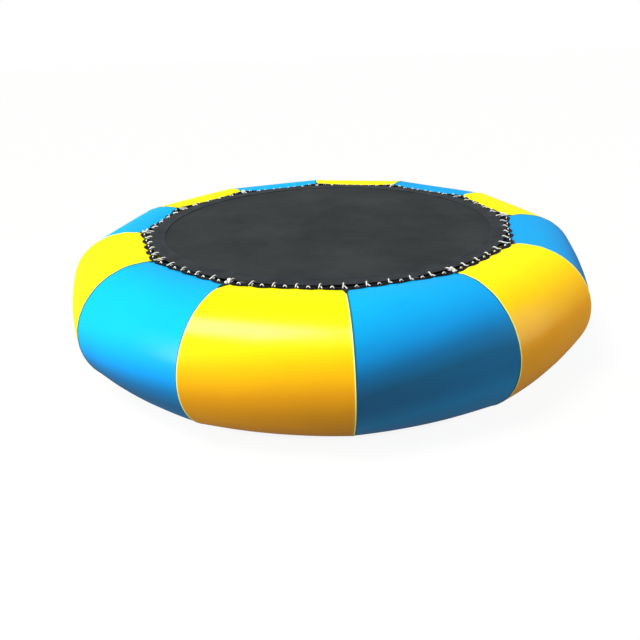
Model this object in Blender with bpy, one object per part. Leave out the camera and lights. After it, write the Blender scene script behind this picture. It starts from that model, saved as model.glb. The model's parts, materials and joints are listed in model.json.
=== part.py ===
"""Water trampoline: an inflated ring of twelve welded panels with a jump mat laced inside it.

+Z is up, and the origin lies on the ground under the middle of the ring.
Run it with blender --background --python part.py, or from the text editor.
"""

import math

import bmesh
import bpy
from mathutils import Matrix, Vector

# Ring of panels
PANEL_COUNT = 12
SEAM_RADIUS = 1.150
TUBE_HALF_WIDTH = 0.338
TUBE_HALF_HEIGHT = 0.3235
BULGE = 0.021
BULGE_ANGLE = math.radians(-30)
BULGE_REACH = math.radians(120)
SHOULDER_DENT = 0.008
DENT_ANGLE = math.radians(105)
DENT_REACH = math.radians(35)
GROUND_FLAT = 0.0076
FABRIC = 0.0009
LAP_WIDTH = 0.030
LAP_RELIEF = 0.0008
ROUND_FACETS = 21
STATION_SHARES = (0.0, 0.3, 0.7, 1.0)

# Clearance left between pieces that touch
SEAT_GAP = 0.0003
# How far a cutter runs past what it cuts
OVERRUN = 0.004
# Points of one mesh nearer than this are merged
MERGE_DISTANCE = 0.00003
SHARP_ANGLE = math.radians(35)

# Jump mat and its stitched skirt
SKIRT_SETBACK = 0.128
SKIRT_WIDTH = 0.088
SKIRT_THICKNESS = 0.002
SKIRT_DROP = 0.0045
EYELETS_PER_PANEL = 5
EYELET_SETBACK = 0.018
EYELET_HOLE_RADIUS = 0.0065
EYELET_HOLE_SIDES = 6
MAT_LAP = 0.026
MAT_THICKNESS = 0.0015

# Lacing strips, their webbing loops and the cord
STRIP_THICKNESS = 0.002
STRIP_GAP = 0.0008
STRIP_END_MARGIN = 0.003
STRIP_REACH = 0.014
LOOP_INSET = 0.075
LOOP_HOLE = 0.0085
LOOP_STRAP = 0.0015
LOOP_LENGTH = 0.080
CORD_RADIUS = 0.003
CORD_LIFT = 0.0005
CORD_LOOP_LEAD = 0.0045
PANELS_PER_CORD = 2
CORD_BEVEL_RESOLUTION = 1
KNOT_RADIUS = 0.0075
KNOT_LENGTH = 0.012
KNOT_LIFT = 0.001
KNOT_STEP_SHARES = (0.3, 0.7)
KNOT_TIP_SHARE = 0.5
KNOT_FOOT_SHARE = 0.6

# Inflation valve, on the outer side of a rear panel
VALVE_PANEL = 2
VALVE_ANGLE = math.radians(25)
VALVE_SIDES = 16
BASE_FLANGE_RADIUS = 0.039
BASE_FLANGE_THICKNESS = 0.0025
BASE_BORE_RADIUS = 0.021
BASE_WALL = 0.004
BASE_DEPTH = 0.020
BODY_PASSAGE_RADIUS = 0.016
BODY_NECK_RADIUS = 0.0245
BODY_NECK_HEIGHT = 0.0031
BODY_COLLAR_RADIUS = 0.028
BODY_COLLAR_HEIGHT = 0.0043
BODY_FOOT = 0.002
HUB_RADIUS = 0.006
HUB_HEIGHT = 0.004
HUB_DEPTH = 0.010
SPIDER_ARMS = 3
SPIDER_ARM_WIDTH = 0.003
STEM_RADIUS = 0.003
STEM_CLEARANCE = 0.0004
BUTTON_RADIUS = 0.0075
BUTTON_HEIGHT = 0.003
BUTTON_LEVEL = -0.006
PLATE_RADIUS = 0.0195
PLATE_THICKNESS = 0.002
SEAL_WIDTH = 0.0045
SEAL_THICKNESS = 0.002
SPRING_WIRE_RADIUS = 0.0006
SPRING_RADIUS = 0.005
SPRING_TURNS = 3
SPRING_POINTS_PER_TURN = 9
CAP_CLEARANCE = 0.0008
CAP_WALL = 0.004
CAP_ROOF = 0.004
CAP_CHAMFER = 0.002
CAP_GRIP_LENGTH = 0.040
CAP_GRIP_WIDTH = 0.007
CAP_GRIP_HEIGHT = 0.006
TETHER_CLEARANCE = 0.0008
TETHER_RING_WIDTH = 0.005
TETHER_THICKNESS = 0.0025
TETHER_STRAP_WIDTH = 0.006
TETHER_REACH = 0.010

# Anchor points, low on the inner side
ANCHOR_PANELS = (1, 4, 7, 10)
ANCHOR_ANGLE = math.radians(212.4)
ANCHOR_SIDES = 16
PATCH_RADIUS = 0.038
PATCH_THICKNESS = 0.002
TAB_WIDTH = 0.028
TAB_TAIL = 0.026
TAB_STRAP = 0.0015
TAB_EYE_CLEARANCE = 0.0006
TAB_EYE_SIDES = 8
RING_WIRE_RADIUS = 0.003
RING_INNER_WIDTH = 0.040
RING_INNER_DEPTH = 0.030
RING_ARC_POINTS = 9
RING_BOW_POWER_SHARE = 0.7
RING_WIRE_SIDES = 6

# Colours as linear values, with roughness and metallic value
YELLOW = ((0.95, 0.72, 0.01), 0.35, 0.0)
BLUE = ((0.0, 0.28, 0.70), 0.35, 0.0)
MAT_BLACK = ((0.045, 0.052, 0.055), 0.85, 0.0)
SKIRT_BLACK = ((0.03, 0.035, 0.045), 0.6, 0.0)
STRIP_BLACK = ((0.015, 0.016, 0.02), 0.5, 0.0)
CORD_WHITE = ((0.85, 0.85, 0.83), 0.7, 0.0)
VALVE_GREY = ((0.10, 0.11, 0.12), 0.4, 0.0)
SEAL_BLACK = ((0.02, 0.02, 0.02), 0.7, 0.0)
STEEL = ((0.65, 0.66, 0.67), 0.25, 1.0)

# Worked out from the sizes above
PANEL_ANGLE = 2 * math.pi / PANEL_COUNT
APOTHEM = SEAM_RADIUS * math.cos(PANEL_ANGLE / 2)
LAP_SHARE = LAP_WIDTH / (2 * SEAM_RADIUS * math.sin(PANEL_ANGLE / 2))
INNER_SKIN = (-FABRIC, 0.0)
OUTER_SKIN = (SEAT_GAP, SEAT_GAP + FABRIC)


def lobe(angle, centre, reach):
    """A smooth bump of height 1 at centre that ends at reach on both sides."""
    turn = abs(math.remainder(angle - centre, 2 * math.pi))
    return math.cos(math.pi / 2 * turn / reach) ** 2 if turn < reach else 0.0


CENTRE_HEIGHT = (
    TUBE_HALF_HEIGHT
    + OUTER_SKIN[1]
    + BULGE * lobe(-math.pi / 2, BULGE_ANGLE, BULGE_REACH)
    - GROUND_FLAT
)
SKIRT_BOTTOM = CENTRE_HEIGHT + TUBE_HALF_HEIGHT - SKIRT_DROP
SKIRT_TOP = SKIRT_BOTTOM + SKIRT_THICKNESS
SKIRT_OUTER = SEAM_RADIUS - SKIRT_SETBACK
SKIRT_INNER = SKIRT_OUTER - SKIRT_WIDTH
EYELET_CIRCLE = SKIRT_OUTER - EYELET_SETBACK
EYELET_ANGLE = PANEL_ANGLE / EYELETS_PER_PANEL
LOOP_LINE = APOTHEM - LOOP_INSET
NECK_BOTTOM = SEAT_GAP + BASE_FLANGE_THICKNESS + SEAT_GAP
COLLAR_BOTTOM = NECK_BOTTOM + BODY_NECK_HEIGHT
COLLAR_TOP = COLLAR_BOTTOM + BODY_COLLAR_HEIGHT
BODY_BOTTOM = -BASE_DEPTH - BODY_FOOT
HUB_TOP = BUTTON_LEVEL - HUB_DEPTH + SEAT_GAP
SEAL_TOP = BODY_BOTTOM - SEAT_GAP
PLATE_TOP = SEAL_TOP - SEAL_THICKNESS - SEAT_GAP
CAP_INNER = BODY_COLLAR_RADIUS + CAP_CLEARANCE
CAP_OUTER = CAP_INNER + CAP_WALL
CAP_CEILING = COLLAR_TOP + SEAT_GAP
CAP_TOP = CAP_CEILING + CAP_ROOF
EYE_RADIUS = RING_WIRE_RADIUS + TAB_EYE_CLEARANCE
TAB_BOTTOM = SEAT_GAP + PATCH_THICKNESS + SEAT_GAP
EYE_HEIGHT = TAB_BOTTOM + TAB_STRAP + EYE_RADIUS


def clear_scene():
    for obj in list(bpy.data.objects):
        bpy.data.objects.remove(obj, do_unlink=True)


def make_material(name, finish):
    colour, roughness, metallic = finish
    mat = bpy.data.materials.new(name)
    mat.use_nodes = True
    shader = mat.node_tree.nodes["Principled BSDF"]
    shader.inputs["Base Color"].default_value = (*colour, 1.0)
    shader.inputs["Roughness"].default_value = roughness
    shader.inputs["Metallic"].default_value = metallic
    return mat


def add_object(name, data, finish, place=None):
    """Links a mesh or a curve under its name, with its own material."""
    obj = bpy.data.objects.new(name, data)
    bpy.context.scene.collection.objects.link(obj)
    if not data.materials:
        data.materials.append(None)
    obj.material_slots[0].link = "OBJECT"
    obj.material_slots[0].material = make_material(name, finish)
    if place is not None:
        obj.matrix_world = place
    return obj


def finished_mesh(name, bm):
    """A mesh from bm, with its faces pointing out and its round sides smooth."""
    bmesh.ops.recalc_face_normals(bm, faces=bm.faces)
    mesh = bpy.data.meshes.new(name)
    bm.to_mesh(mesh)
    bm.free()
    mesh.shade_smooth()
    mesh.set_sharp_from_angle(angle=SHARP_ANGLE)
    return mesh


def combined(name, base, tools, operation):
    """The mesh of base with each tool joined to it or cut from it."""
    scene = bpy.context.scene.collection
    holder = bpy.data.objects.new(name, base)
    scene.objects.link(holder)
    helpers = []
    for index, tool in enumerate(tools):
        helper = bpy.data.objects.new(f"{name}_tool_{index}", tool)
        scene.objects.link(helper)
        helpers.append(helper)
        modifier = holder.modifiers.new(helper.name, "BOOLEAN")
        modifier.operation = operation
        modifier.object = helper
    bpy.context.view_layer.update()
    graph = bpy.context.evaluated_depsgraph_get()
    mesh = bpy.data.meshes.new_from_object(holder.evaluated_get(graph))
    for obj in [holder, *helpers]:
        bpy.data.objects.remove(obj, do_unlink=True)
    mesh.name = name
    return mesh


def turned(name, profile, sides):
    """A body of revolution about Z, from a closed outline of (radius, height) points."""
    bm = bmesh.new()
    verts = [bm.verts.new((radius, 0.0, height)) for radius, height in profile]
    edges = []
    for first, second in zip(verts, verts[1:] + verts[:1]):
        if first.co.x > 0 or second.co.x > 0:
            edges.append(bm.edges.new((first, second)))
    bmesh.ops.spin(
        bm,
        geom=verts + edges,
        cent=(0, 0, 0),
        axis=(0, 0, 1),
        angle=2 * math.pi,
        steps=sides,
        use_merge=True,
    )
    bmesh.ops.remove_doubles(bm, verts=bm.verts, dist=MERGE_DISTANCE)
    return finished_mesh(name, bm)


def block(name, low, high):
    """A box between two corners."""
    bm = bmesh.new()
    bmesh.ops.create_cube(bm, size=1.0)
    for vert in bm.verts:
        shares = [co + 0.5 for co in vert.co]
        vert.co = [a + (b - a) * share for a, b, share in zip(low, high, shares)]
    return finished_mesh(name, bm)


def extruded(name, outline, low, high):
    """An (x, z) outline extruded along Y from low to high."""
    bm = bmesh.new()
    verts = [bm.verts.new((x, low, z)) for x, z in outline]
    face = bm.faces.new(verts)
    swept = bmesh.ops.extrude_face_region(bm, geom=[face])
    for item in swept["geom"]:
        if isinstance(item, bmesh.types.BMVert):
            item.co.y = high
    return finished_mesh(name, bm)


def tube_curve(name, points, radius, resolution, radii=None):
    """A round wire or cord through points, closed at both ends."""
    curve = bpy.data.curves.new(name, "CURVE")
    curve.dimensions = "3D"
    curve.bevel_depth = radius
    curve.bevel_resolution = resolution
    curve.use_fill_caps = True
    spline = curve.splines.new("POLY")
    spline.points.add(len(points) - 1)
    for index, (target, point) in enumerate(zip(spline.points, points)):
        target.co = (*point, 1.0)
        if radii:
            target.radius = radii[index]
    return curve


def is_yellow(panel):
    return panel % 2 == 0


def skin_of(panel):
    """The (inner, outer) offsets of the panel's fabric: yellow laps over blue."""
    return OUTER_SKIN if is_yellow(panel) else INNER_SKIN


def panel_turn(panel):
    """The turn about Z from the panel's own frame, whose X points out at its middle."""
    return Matrix.Rotation((panel + 0.5) * PANEL_ANGLE, 4, "Z")


def skin_point(share, angle, offset):
    """The tube's skin in the panel's frame, at a share of the way from seam to seam."""
    swell = 1 - (2 * share - 1) ** 2
    fullness = BULGE * lobe(angle, BULGE_ANGLE, BULGE_REACH)
    fullness -= SHOULDER_DENT * lobe(angle, DENT_ANGLE, DENT_REACH)
    normal = Vector((math.cos(angle) / TUBE_HALF_WIDTH, math.sin(angle) / TUBE_HALF_HEIGHT))
    shift = normal.normalized() * (offset + fullness * swell)
    x = APOTHEM + TUBE_HALF_WIDTH * math.cos(angle) + shift.x
    z = CENTRE_HEIGHT + TUBE_HALF_HEIGHT * math.sin(angle) + shift.y
    z = max(z, OUTER_SKIN[1] - offset)
    return Vector((x, x * math.tan((share - 0.5) * PANEL_ANGLE), z))


def facet_angles():
    """Section angles with a point at the crown and a flat under the tube."""
    return [math.pi / 2 + 2 * math.pi * index / ROUND_FACETS for index in range(ROUND_FACETS)]


def faceted_point(share, angle, offset):
    """The skin between two stations, on the straight line that the solid's facets follow."""
    for start, end in zip(STATION_SHARES, STATION_SHARES[1:]):
        if share <= end:
            break
    mix = (share - start) / (end - start)
    return skin_point(start, angle, offset).lerp(skin_point(end, angle, offset), mix)


def folds_outwards(first, second, index, after):
    """Whether the facet from first[index] to second[after] stands proud along that diagonal.

    Both skins of a panel fold along the same diagonal, so that its wall keeps its thickness.
    """
    points = [vert.co for vert in (*first, *second)]
    centre = sum(points, Vector()) / len(points)
    one = (first[index].co + second[after].co) / 2
    other = (first[after].co + second[index].co) / 2
    return (one - centre).length > (other - centre).length


def panel_mesh(name, skin, has_lap):
    """One panel as an open-ended shell; with a lap, it runs on under both neighbours."""
    sections = [(0, share, 0.0) for share in STATION_SHARES]
    if has_lap:
        sections.insert(0, (-1, 1 - LAP_SHARE, LAP_RELIEF))
        sections.append((1, LAP_SHARE, LAP_RELIEF))
    bm = bmesh.new()
    rings = []
    for neighbour, share, relief in sections:
        turn = Matrix.Rotation(neighbour * PANEL_ANGLE, 4, "Z")
        for offset in reversed(skin):
            points = [faceted_point(share, angle, offset - relief) for angle in facet_angles()]
            rings.append([bm.verts.new(turn @ point) for point in points])
    outer, inner = rings[::2], rings[1::2]
    for index in range(ROUND_FACETS):
        after = (index + 1) % ROUND_FACETS
        for section in range(len(sections) - 1):
            pair = (outer[section], outer[section + 1])
            ridge = folds_outwards(*pair, index, after)
            for first, second in (pair, (inner[section], inner[section + 1])):
                low, high = first[index], first[after]
                next_low, next_high = second[index], second[after]
                if ridge:
                    corners = ((low, high, next_high), (low, next_high, next_low))
                else:
                    corners = ((low, high, next_low), (high, next_high, next_low))
                for corner in corners:
                    bm.faces.new(corner)
        for end in (0, -1):
            first, second = outer[end], inner[end]
            bm.faces.new((first[index], first[after], second[after], second[index]))
    return finished_mesh(name, bm)


def seat_on_skin(panel, angle):
    """A frame in the middle of the flat facet nearest to angle, with Z along its normal."""
    angles = facet_angles()
    middle = [a + math.pi / ROUND_FACETS for a in angles]
    index = min(
        range(ROUND_FACETS), key=lambda i: abs(math.remainder(middle[i] - angle, 2 * math.pi))
    )
    pair = (angles[index], angles[(index + 1) % ROUND_FACETS])
    low, high = [faceted_point(0.5, a, skin_of(panel)[1]) for a in pair]
    along = Vector((0, 1, 0))
    normal = along.cross(high - low).normalized()
    if normal.dot((low + high) / 2 - Vector((APOTHEM, 0, CENTRE_HEIGHT))) < 0:
        normal.negate()
    across = along.cross(normal)
    frame = Matrix((across, along, normal)).transposed().to_4x4()
    frame.translation = (low + high) / 2
    return panel_turn(panel) @ frame


def valve_hole(place):
    """The round hole through the fabric under the valve."""
    radius = BASE_BORE_RADIUS + BASE_WALL + SEAT_GAP
    profile = [(0, -OVERRUN), (radius, -OVERRUN), (radius, OVERRUN), (0, OVERRUN)]
    mesh = turned("valve_hole", profile, VALVE_SIDES)
    mesh.transform(place)
    return mesh


def make_panels():
    yellow = panel_mesh("yellow_panel", OUTER_SKIN, has_lap=False)
    blue = panel_mesh("blue_panel", INNER_SKIN, has_lap=True)
    for panel in range(PANEL_COUNT):
        mesh = yellow if is_yellow(panel) else blue
        colour = "yellow" if is_yellow(panel) else "blue"
        turn = panel_turn(panel)
        if panel == VALVE_PANEL:
            cutter = valve_hole(turn.inverted() @ seat_on_skin(panel, VALVE_ANGLE))
            mesh = combined("valve_panel", mesh, [cutter], "DIFFERENCE")
        finish = YELLOW if is_yellow(panel) else BLUE
        add_object(f"panel_{panel + 1:02d}_{colour}", mesh, finish, turn)


def crown_height(x, y):
    """Height of the inner skin's outer face near the crown, at (x, y) in the panel's frame."""
    share = math.atan2(y, x) / PANEL_ANGLE + 0.5
    ring = [faceted_point(share, angle, INNER_SKIN[1]) for angle in facet_angles()]
    upper = [point for point in ring if point.z > CENTRE_HEIGHT]
    upper.sort(key=lambda point: point.x)
    for first, second in zip(upper, upper[1:]):
        if first.x <= x <= second.x:
            mix = (x - first.x) / (second.x - first.x)
            return first.z + (second.z - first.z) * mix
    raise ValueError("the place lies outside the tube")


def loop_places():
    """Distances along the panel of its webbing loops, midway between eyelets."""
    half = (EYELETS_PER_PANEL - 1) / 2
    return [LOOP_LINE * math.tan((i - half) * EYELET_ANGLE) for i in range(EYELETS_PER_PANEL)]


def loop_floor(y):
    """Top of the strip under the loop at y, on a blue panel."""
    return crown_height(LOOP_LINE, y) + STRIP_GAP + STRIP_THICKNESS


def strip_band_mesh():
    """The flat strip from the loops' inner side towards the crown, following the skin."""
    columns = (LOOP_LINE - LOOP_HOLE / 2 - LOOP_STRAP, LOOP_LINE + STRIP_REACH)
    places = loop_places()
    end = places[-1] + LOOP_LENGTH / 2 + STRIP_END_MARGIN
    bm = bmesh.new()
    sections = []
    between = [(first + second) / 2 for first, second in zip(places, places[1:])]
    for y in [-end, *between, end]:
        bottom = [Vector((x, y, crown_height(x, y) + STRIP_GAP)) for x in columns]
        top = [point + Vector((0, 0, STRIP_THICKNESS)) for point in reversed(bottom)]
        sections.append([bm.verts.new(point) for point in bottom + top])
    for first, second in zip(sections, sections[1:]):
        for index in range(len(first)):
            after = (index + 1) % len(first)
            bm.faces.new((first[index], first[after], second[after], second[index]))
    bm.faces.new(sections[0])
    bm.faces.new(sections[-1])
    return finished_mesh("strip_band", bm)


def strip_loop_mesh(y):
    """One webbing loop: a strap arched over the cord, its feet sunk into the sloping strip."""
    floor = loop_floor(y)
    foot = floor - STRIP_THICKNESS / 2
    inside = LOOP_HOLE / 2
    outside = inside + LOOP_STRAP
    top = floor + LOOP_HOLE
    outline = [
        (LOOP_LINE - outside, foot),
        (LOOP_LINE - outside, top + LOOP_STRAP),
        (LOOP_LINE + outside, top + LOOP_STRAP),
        (LOOP_LINE + outside, foot),
        (LOOP_LINE + inside, foot),
        (LOOP_LINE + inside, top),
        (LOOP_LINE - inside, top),
        (LOOP_LINE - inside, foot),
    ]
    mesh = extruded("strip_loop", outline, y - LOOP_LENGTH / 2, y + LOOP_LENGTH / 2)
    for vert in mesh.vertices:
        vert.co.z += loop_floor(vert.co.y) - floor
    return mesh


def strip_lift(panel):
    """How much higher a strip lies on a yellow panel than on a blue one."""
    return skin_of(panel)[1] - INNER_SKIN[1]


def make_strips():
    loops = [strip_loop_mesh(y) for y in loop_places()]
    mesh = combined("lacing_strip", strip_band_mesh(), loops, "UNION")
    for panel in range(PANEL_COUNT):
        place = Matrix.Translation((0, 0, strip_lift(panel))) @ panel_turn(panel)
        add_object(f"lacing_strip_{panel + 1:02d}", mesh, STRIP_BLACK, place)


def ring_point(radius, angle, height):
    return Vector((radius * math.cos(angle), radius * math.sin(angle), height))


def make_skirt():
    """The stitched band round the mat, with a hole for each eyelet."""
    count = PANEL_COUNT * EYELETS_PER_PANEL
    profile = [
        (SKIRT_INNER, SKIRT_BOTTOM),
        (SKIRT_OUTER, SKIRT_BOTTOM),
        (SKIRT_OUTER, SKIRT_TOP),
        (SKIRT_INNER, SKIRT_TOP),
    ]
    band = turned("skirt_band", profile, count)
    band.transform(Matrix.Rotation(EYELET_ANGLE / 2, 4, "Z"))
    bm = bmesh.new()
    for index in range(count):
        centre = ring_point(EYELET_CIRCLE, index * EYELET_ANGLE, (SKIRT_BOTTOM + SKIRT_TOP) / 2)
        place = Matrix.Translation(centre) @ Matrix.Rotation(index * EYELET_ANGLE, 4, "Z")
        bmesh.ops.create_cone(
            bm,
            cap_ends=True,
            segments=EYELET_HOLE_SIDES,
            radius1=EYELET_HOLE_RADIUS,
            radius2=EYELET_HOLE_RADIUS,
            depth=SKIRT_THICKNESS + 2 * OVERRUN,
            matrix=place,
        )
    holes = finished_mesh("eyelet_holes", bm)
    mesh = combined("mat_skirt", band, [holes], "DIFFERENCE")
    add_object("mat_skirt", mesh, SKIRT_BLACK)


def make_mat():
    """The woven jump mat, lapped under the skirt's inner edge."""
    radius = SKIRT_INNER + MAT_LAP
    top = SKIRT_BOTTOM - SEAT_GAP
    profile = [(0, top - MAT_THICKNESS), (radius, top - MAT_THICKNESS), (radius, top), (0, top)]
    mesh = turned("jump_mat", profile, PANEL_COUNT * EYELETS_PER_PANEL)
    add_object("jump_mat", mesh, MAT_BLACK)


def loop_ends(panel, index):
    """The cord's two points at the mouths of one webbing loop, in order round the ring."""
    ends = []
    for side in (-1, 1):
        y = loop_places()[index] + side * LOOP_LENGTH / 2
        height = loop_floor(y) + LOOP_HOLE / 2 + strip_lift(panel)
        place = Vector((LOOP_LINE, y + side * CORD_LOOP_LEAD, height))
        ends.append(panel_turn(panel) @ place)
    return ends


def over_edge(eyelet, loop_end, height):
    """Where a strand between an eyelet and a loop crosses the skirt's outer edge."""
    span = loop_end.xy - eyelet.xy
    share = (SKIRT_OUTER - eyelet.xy.length) / (loop_end.xy.length - eyelet.xy.length)
    return Vector((*(eyelet.xy + span * share), height))


def cord_route(first_panel):
    """One cord: from its knot at an eyelet, down and round each loop, and over to the next."""
    above = SKIRT_TOP + CORD_RADIUS + CORD_LIFT
    below = SKIRT_BOTTOM - CORD_RADIUS - CORD_LIFT
    start_angle = first_panel * PANEL_ANGLE
    points = [ring_point(EYELET_CIRCLE, start_angle, above + KNOT_LENGTH)]
    for step in range(PANELS_PER_CORD * EYELETS_PER_PANEL):
        panel = (first_panel + step // EYELETS_PER_PANEL) % PANEL_COUNT
        eyelet_angle = start_angle + step * EYELET_ANGLE
        entry, leave = loop_ends(panel, step % EYELETS_PER_PANEL)
        hole_top = ring_point(EYELET_CIRCLE, eyelet_angle, above)
        hole_bottom = ring_point(EYELET_CIRCLE, eyelet_angle, below)
        points += [hole_top, hole_bottom, over_edge(hole_bottom, entry, below), entry, leave]
        next_top = ring_point(EYELET_CIRCLE, eyelet_angle + EYELET_ANGLE, above)
        points.append(over_edge(next_top, leave, above))
    return points


def knotted(points, head_start):
    """Route and radius shares with a stopper knot at both ends."""
    knot_share = KNOT_RADIUS / CORD_RADIUS
    top = points[0]
    knot_foot = Vector((top.x, top.y, head_start))
    head = [top, *[top.lerp(knot_foot, share) for share in KNOT_STEP_SHARES], knot_foot]
    full = [knot_share] * len(KNOT_STEP_SHARES)
    head_radii = [KNOT_TIP_SHARE * knot_share, *full, KNOT_FOOT_SHARE * knot_share]
    last = points[-2]
    way = (last - points[-3]).normalized()
    rise = Vector((0, 0, KNOT_RADIUS - LOOP_HOLE / 2 + KNOT_LIFT))
    tail = [last + rise + way * KNOT_LENGTH * share for share in (*KNOT_STEP_SHARES, 1.0)]
    tail_radii = [*full, KNOT_TIP_SHARE * knot_share]
    middle = points[2:-1]
    route = [*head, *middle, *tail]
    return route, [*head_radii, *[1.0] * len(middle), *tail_radii]


def make_cords():
    head_start = SKIRT_TOP + CORD_LIFT
    for number, first_panel in enumerate(range(0, PANEL_COUNT, PANELS_PER_CORD)):
        route, radii = knotted(cord_route(first_panel), head_start)
        name = f"lacing_cord_{number + 1}"
        curve = tube_curve(name, route, CORD_RADIUS, CORD_BEVEL_RESOLUTION, radii)
        add_object(name, curve, CORD_WHITE)


def valve_base_mesh():
    """Flange on the outside of the fabric, and a sleeve through it."""
    outer = BASE_BORE_RADIUS + BASE_WALL
    top = SEAT_GAP + BASE_FLANGE_THICKNESS
    profile = [
        (BASE_BORE_RADIUS, top),
        (BASE_BORE_RADIUS, -BASE_DEPTH),
        (outer, -BASE_DEPTH),
        (outer, SEAT_GAP),
        (BASE_FLANGE_RADIUS, SEAT_GAP),
        (BASE_FLANGE_RADIUS, top),
    ]
    return turned("valve_base", profile, VALVE_SIDES)


def valve_body_mesh():
    """Screwed insert with a neck, a collar and a three-armed guide for the stem."""
    outer = BASE_BORE_RADIUS - SEAT_GAP
    profile = [
        (BODY_PASSAGE_RADIUS, COLLAR_TOP),
        (BODY_PASSAGE_RADIUS, BODY_BOTTOM),
        (outer, BODY_BOTTOM),
        (outer, NECK_BOTTOM),
        (BODY_NECK_RADIUS, NECK_BOTTOM),
        (BODY_NECK_RADIUS, COLLAR_BOTTOM),
        (BODY_COLLAR_RADIUS, COLLAR_BOTTOM),
        (BODY_COLLAR_RADIUS, COLLAR_TOP),
    ]
    shell = turned("valve_shell", profile, VALVE_SIDES)
    bore = STEM_RADIUS + STEM_CLEARANCE
    low = HUB_TOP - HUB_HEIGHT
    hub_profile = [(bore, HUB_TOP), (bore, low), (HUB_RADIUS, low), (HUB_RADIUS, HUB_TOP)]
    hub = turned("valve_hub", hub_profile, VALVE_SIDES)
    arms = []
    reach = (BODY_PASSAGE_RADIUS + outer) / 2
    start = (bore + HUB_RADIUS) / 2
    inset = HUB_HEIGHT / 4
    for index in range(SPIDER_ARMS):
        arm = block(
            "valve_arm",
            (start, -SPIDER_ARM_WIDTH / 2, low + inset),
            (reach, SPIDER_ARM_WIDTH / 2, HUB_TOP - inset),
        )
        arm.transform(Matrix.Rotation(index * 2 * math.pi / SPIDER_ARMS, 4, "Z"))
        arms.append(arm)
    return combined("valve_body", shell, [hub, *arms], "UNION")


def valve_poppet_mesh():
    """Stem with a push button outside the guide and the seal's plate below it."""
    plate_bottom = PLATE_TOP - PLATE_THICKNESS
    profile = [
        (0, BUTTON_LEVEL + BUTTON_HEIGHT),
        (BUTTON_RADIUS, BUTTON_LEVEL + BUTTON_HEIGHT),
        (BUTTON_RADIUS, BUTTON_LEVEL),
        (STEM_RADIUS, BUTTON_LEVEL),
        (STEM_RADIUS, PLATE_TOP),
        (PLATE_RADIUS, PLATE_TOP),
        (PLATE_RADIUS, plate_bottom),
        (0, plate_bottom),
    ]
    return turned("valve_poppet", profile, VALVE_SIDES)


def valve_seal_mesh():
    inner = PLATE_RADIUS - SEAL_WIDTH
    low = SEAL_TOP - SEAL_THICKNESS
    profile = [(inner, SEAL_TOP), (inner, low), (PLATE_RADIUS, low), (PLATE_RADIUS, SEAL_TOP)]
    return turned("valve_seal", profile, VALVE_SIDES)


def valve_spring_curve():
    """Helical spring between the guide and the button."""
    low = HUB_TOP + SPRING_WIRE_RADIUS + SEAT_GAP
    high = BUTTON_LEVEL - SPRING_WIRE_RADIUS - SEAT_GAP
    count = SPRING_TURNS * SPRING_POINTS_PER_TURN
    points = []
    for index in range(count + 1):
        turn = 2 * math.pi * index / SPRING_POINTS_PER_TURN
        points.append(ring_point(SPRING_RADIUS, turn, low + (high - low) * index / count))
    gap = (high - low) / SPRING_TURNS - 2 * SPRING_WIRE_RADIUS
    print(f"valve_spring: least gap between its turns {1000 * gap:.2f} mm")
    return tube_curve("valve_spring", points, SPRING_WIRE_RADIUS, CORD_BEVEL_RESOLUTION)


def valve_cap_mesh():
    """Cap over the collar, with a bar to turn it by."""
    profile = [
        (0, CAP_TOP),
        (CAP_OUTER - CAP_CHAMFER, CAP_TOP),
        (CAP_OUTER, CAP_TOP - CAP_CHAMFER),
        (CAP_OUTER, COLLAR_BOTTOM),
        (CAP_INNER, COLLAR_BOTTOM),
        (CAP_INNER, CAP_CEILING),
        (0, CAP_CEILING),
    ]
    cap = turned("cap_shell", profile, VALVE_SIDES)
    grip = block(
        "cap_grip",
        (-CAP_GRIP_LENGTH / 2, -CAP_GRIP_WIDTH / 2, CAP_TOP - CAP_ROOF / 2),
        (CAP_GRIP_LENGTH / 2, CAP_GRIP_WIDTH / 2, CAP_TOP + CAP_GRIP_HEIGHT),
    )
    return combined("valve_cap", cap, [grip], "UNION")


def valve_tether_mesh():
    """Ring that turns on the neck, and a strap that folds up to the cap's side."""
    inner = BODY_NECK_RADIUS + TETHER_CLEARANCE
    outer = inner + TETHER_RING_WIDTH
    low = NECK_BOTTOM + SEAT_GAP
    high = low + TETHER_THICKNESS
    ring_profile = [(inner, high), (inner, low), (outer, low), (outer, high)]
    ring = turned("tether_ring", ring_profile, VALVE_SIDES)
    far = CAP_OUTER + TETHER_REACH
    near = CAP_OUTER + SEAT_GAP
    top = CAP_TOP - CAP_CHAMFER
    outline = [
        (outer - TETHER_RING_WIDTH / 2, low),
        (far, low),
        (far, top),
        (near, top),
        (near, top - TETHER_THICKNESS),
        (far - TETHER_THICKNESS, top - TETHER_THICKNESS),
        (far - TETHER_THICKNESS, high),
        (outer - TETHER_RING_WIDTH / 2, high),
    ]
    strap = extruded("tether_strap", outline, -TETHER_STRAP_WIDTH / 2, TETHER_STRAP_WIDTH / 2)
    return combined("valve_tether", ring, [strap], "UNION")


def make_valve():
    place = seat_on_skin(VALVE_PANEL, VALVE_ANGLE)
    add_object("valve_base", valve_base_mesh(), VALVE_GREY, place)
    add_object("valve_body", valve_body_mesh(), VALVE_GREY, place)
    add_object("valve_poppet", valve_poppet_mesh(), VALVE_GREY, place)
    add_object("valve_seal", valve_seal_mesh(), SEAL_BLACK, place)
    add_object("valve_spring", valve_spring_curve(), STEEL, place)
    add_object("valve_cap", valve_cap_mesh(), VALVE_GREY, place)
    add_object("valve_tether", valve_tether_mesh(), SEAL_BLACK, place)


def patch_mesh():
    low = SEAT_GAP
    high = low + PATCH_THICKNESS
    profile = [(0, low), (PATCH_RADIUS, low), (PATCH_RADIUS, high), (0, high)]
    return turned("anchor_patch", profile, ANCHOR_SIDES)


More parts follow.
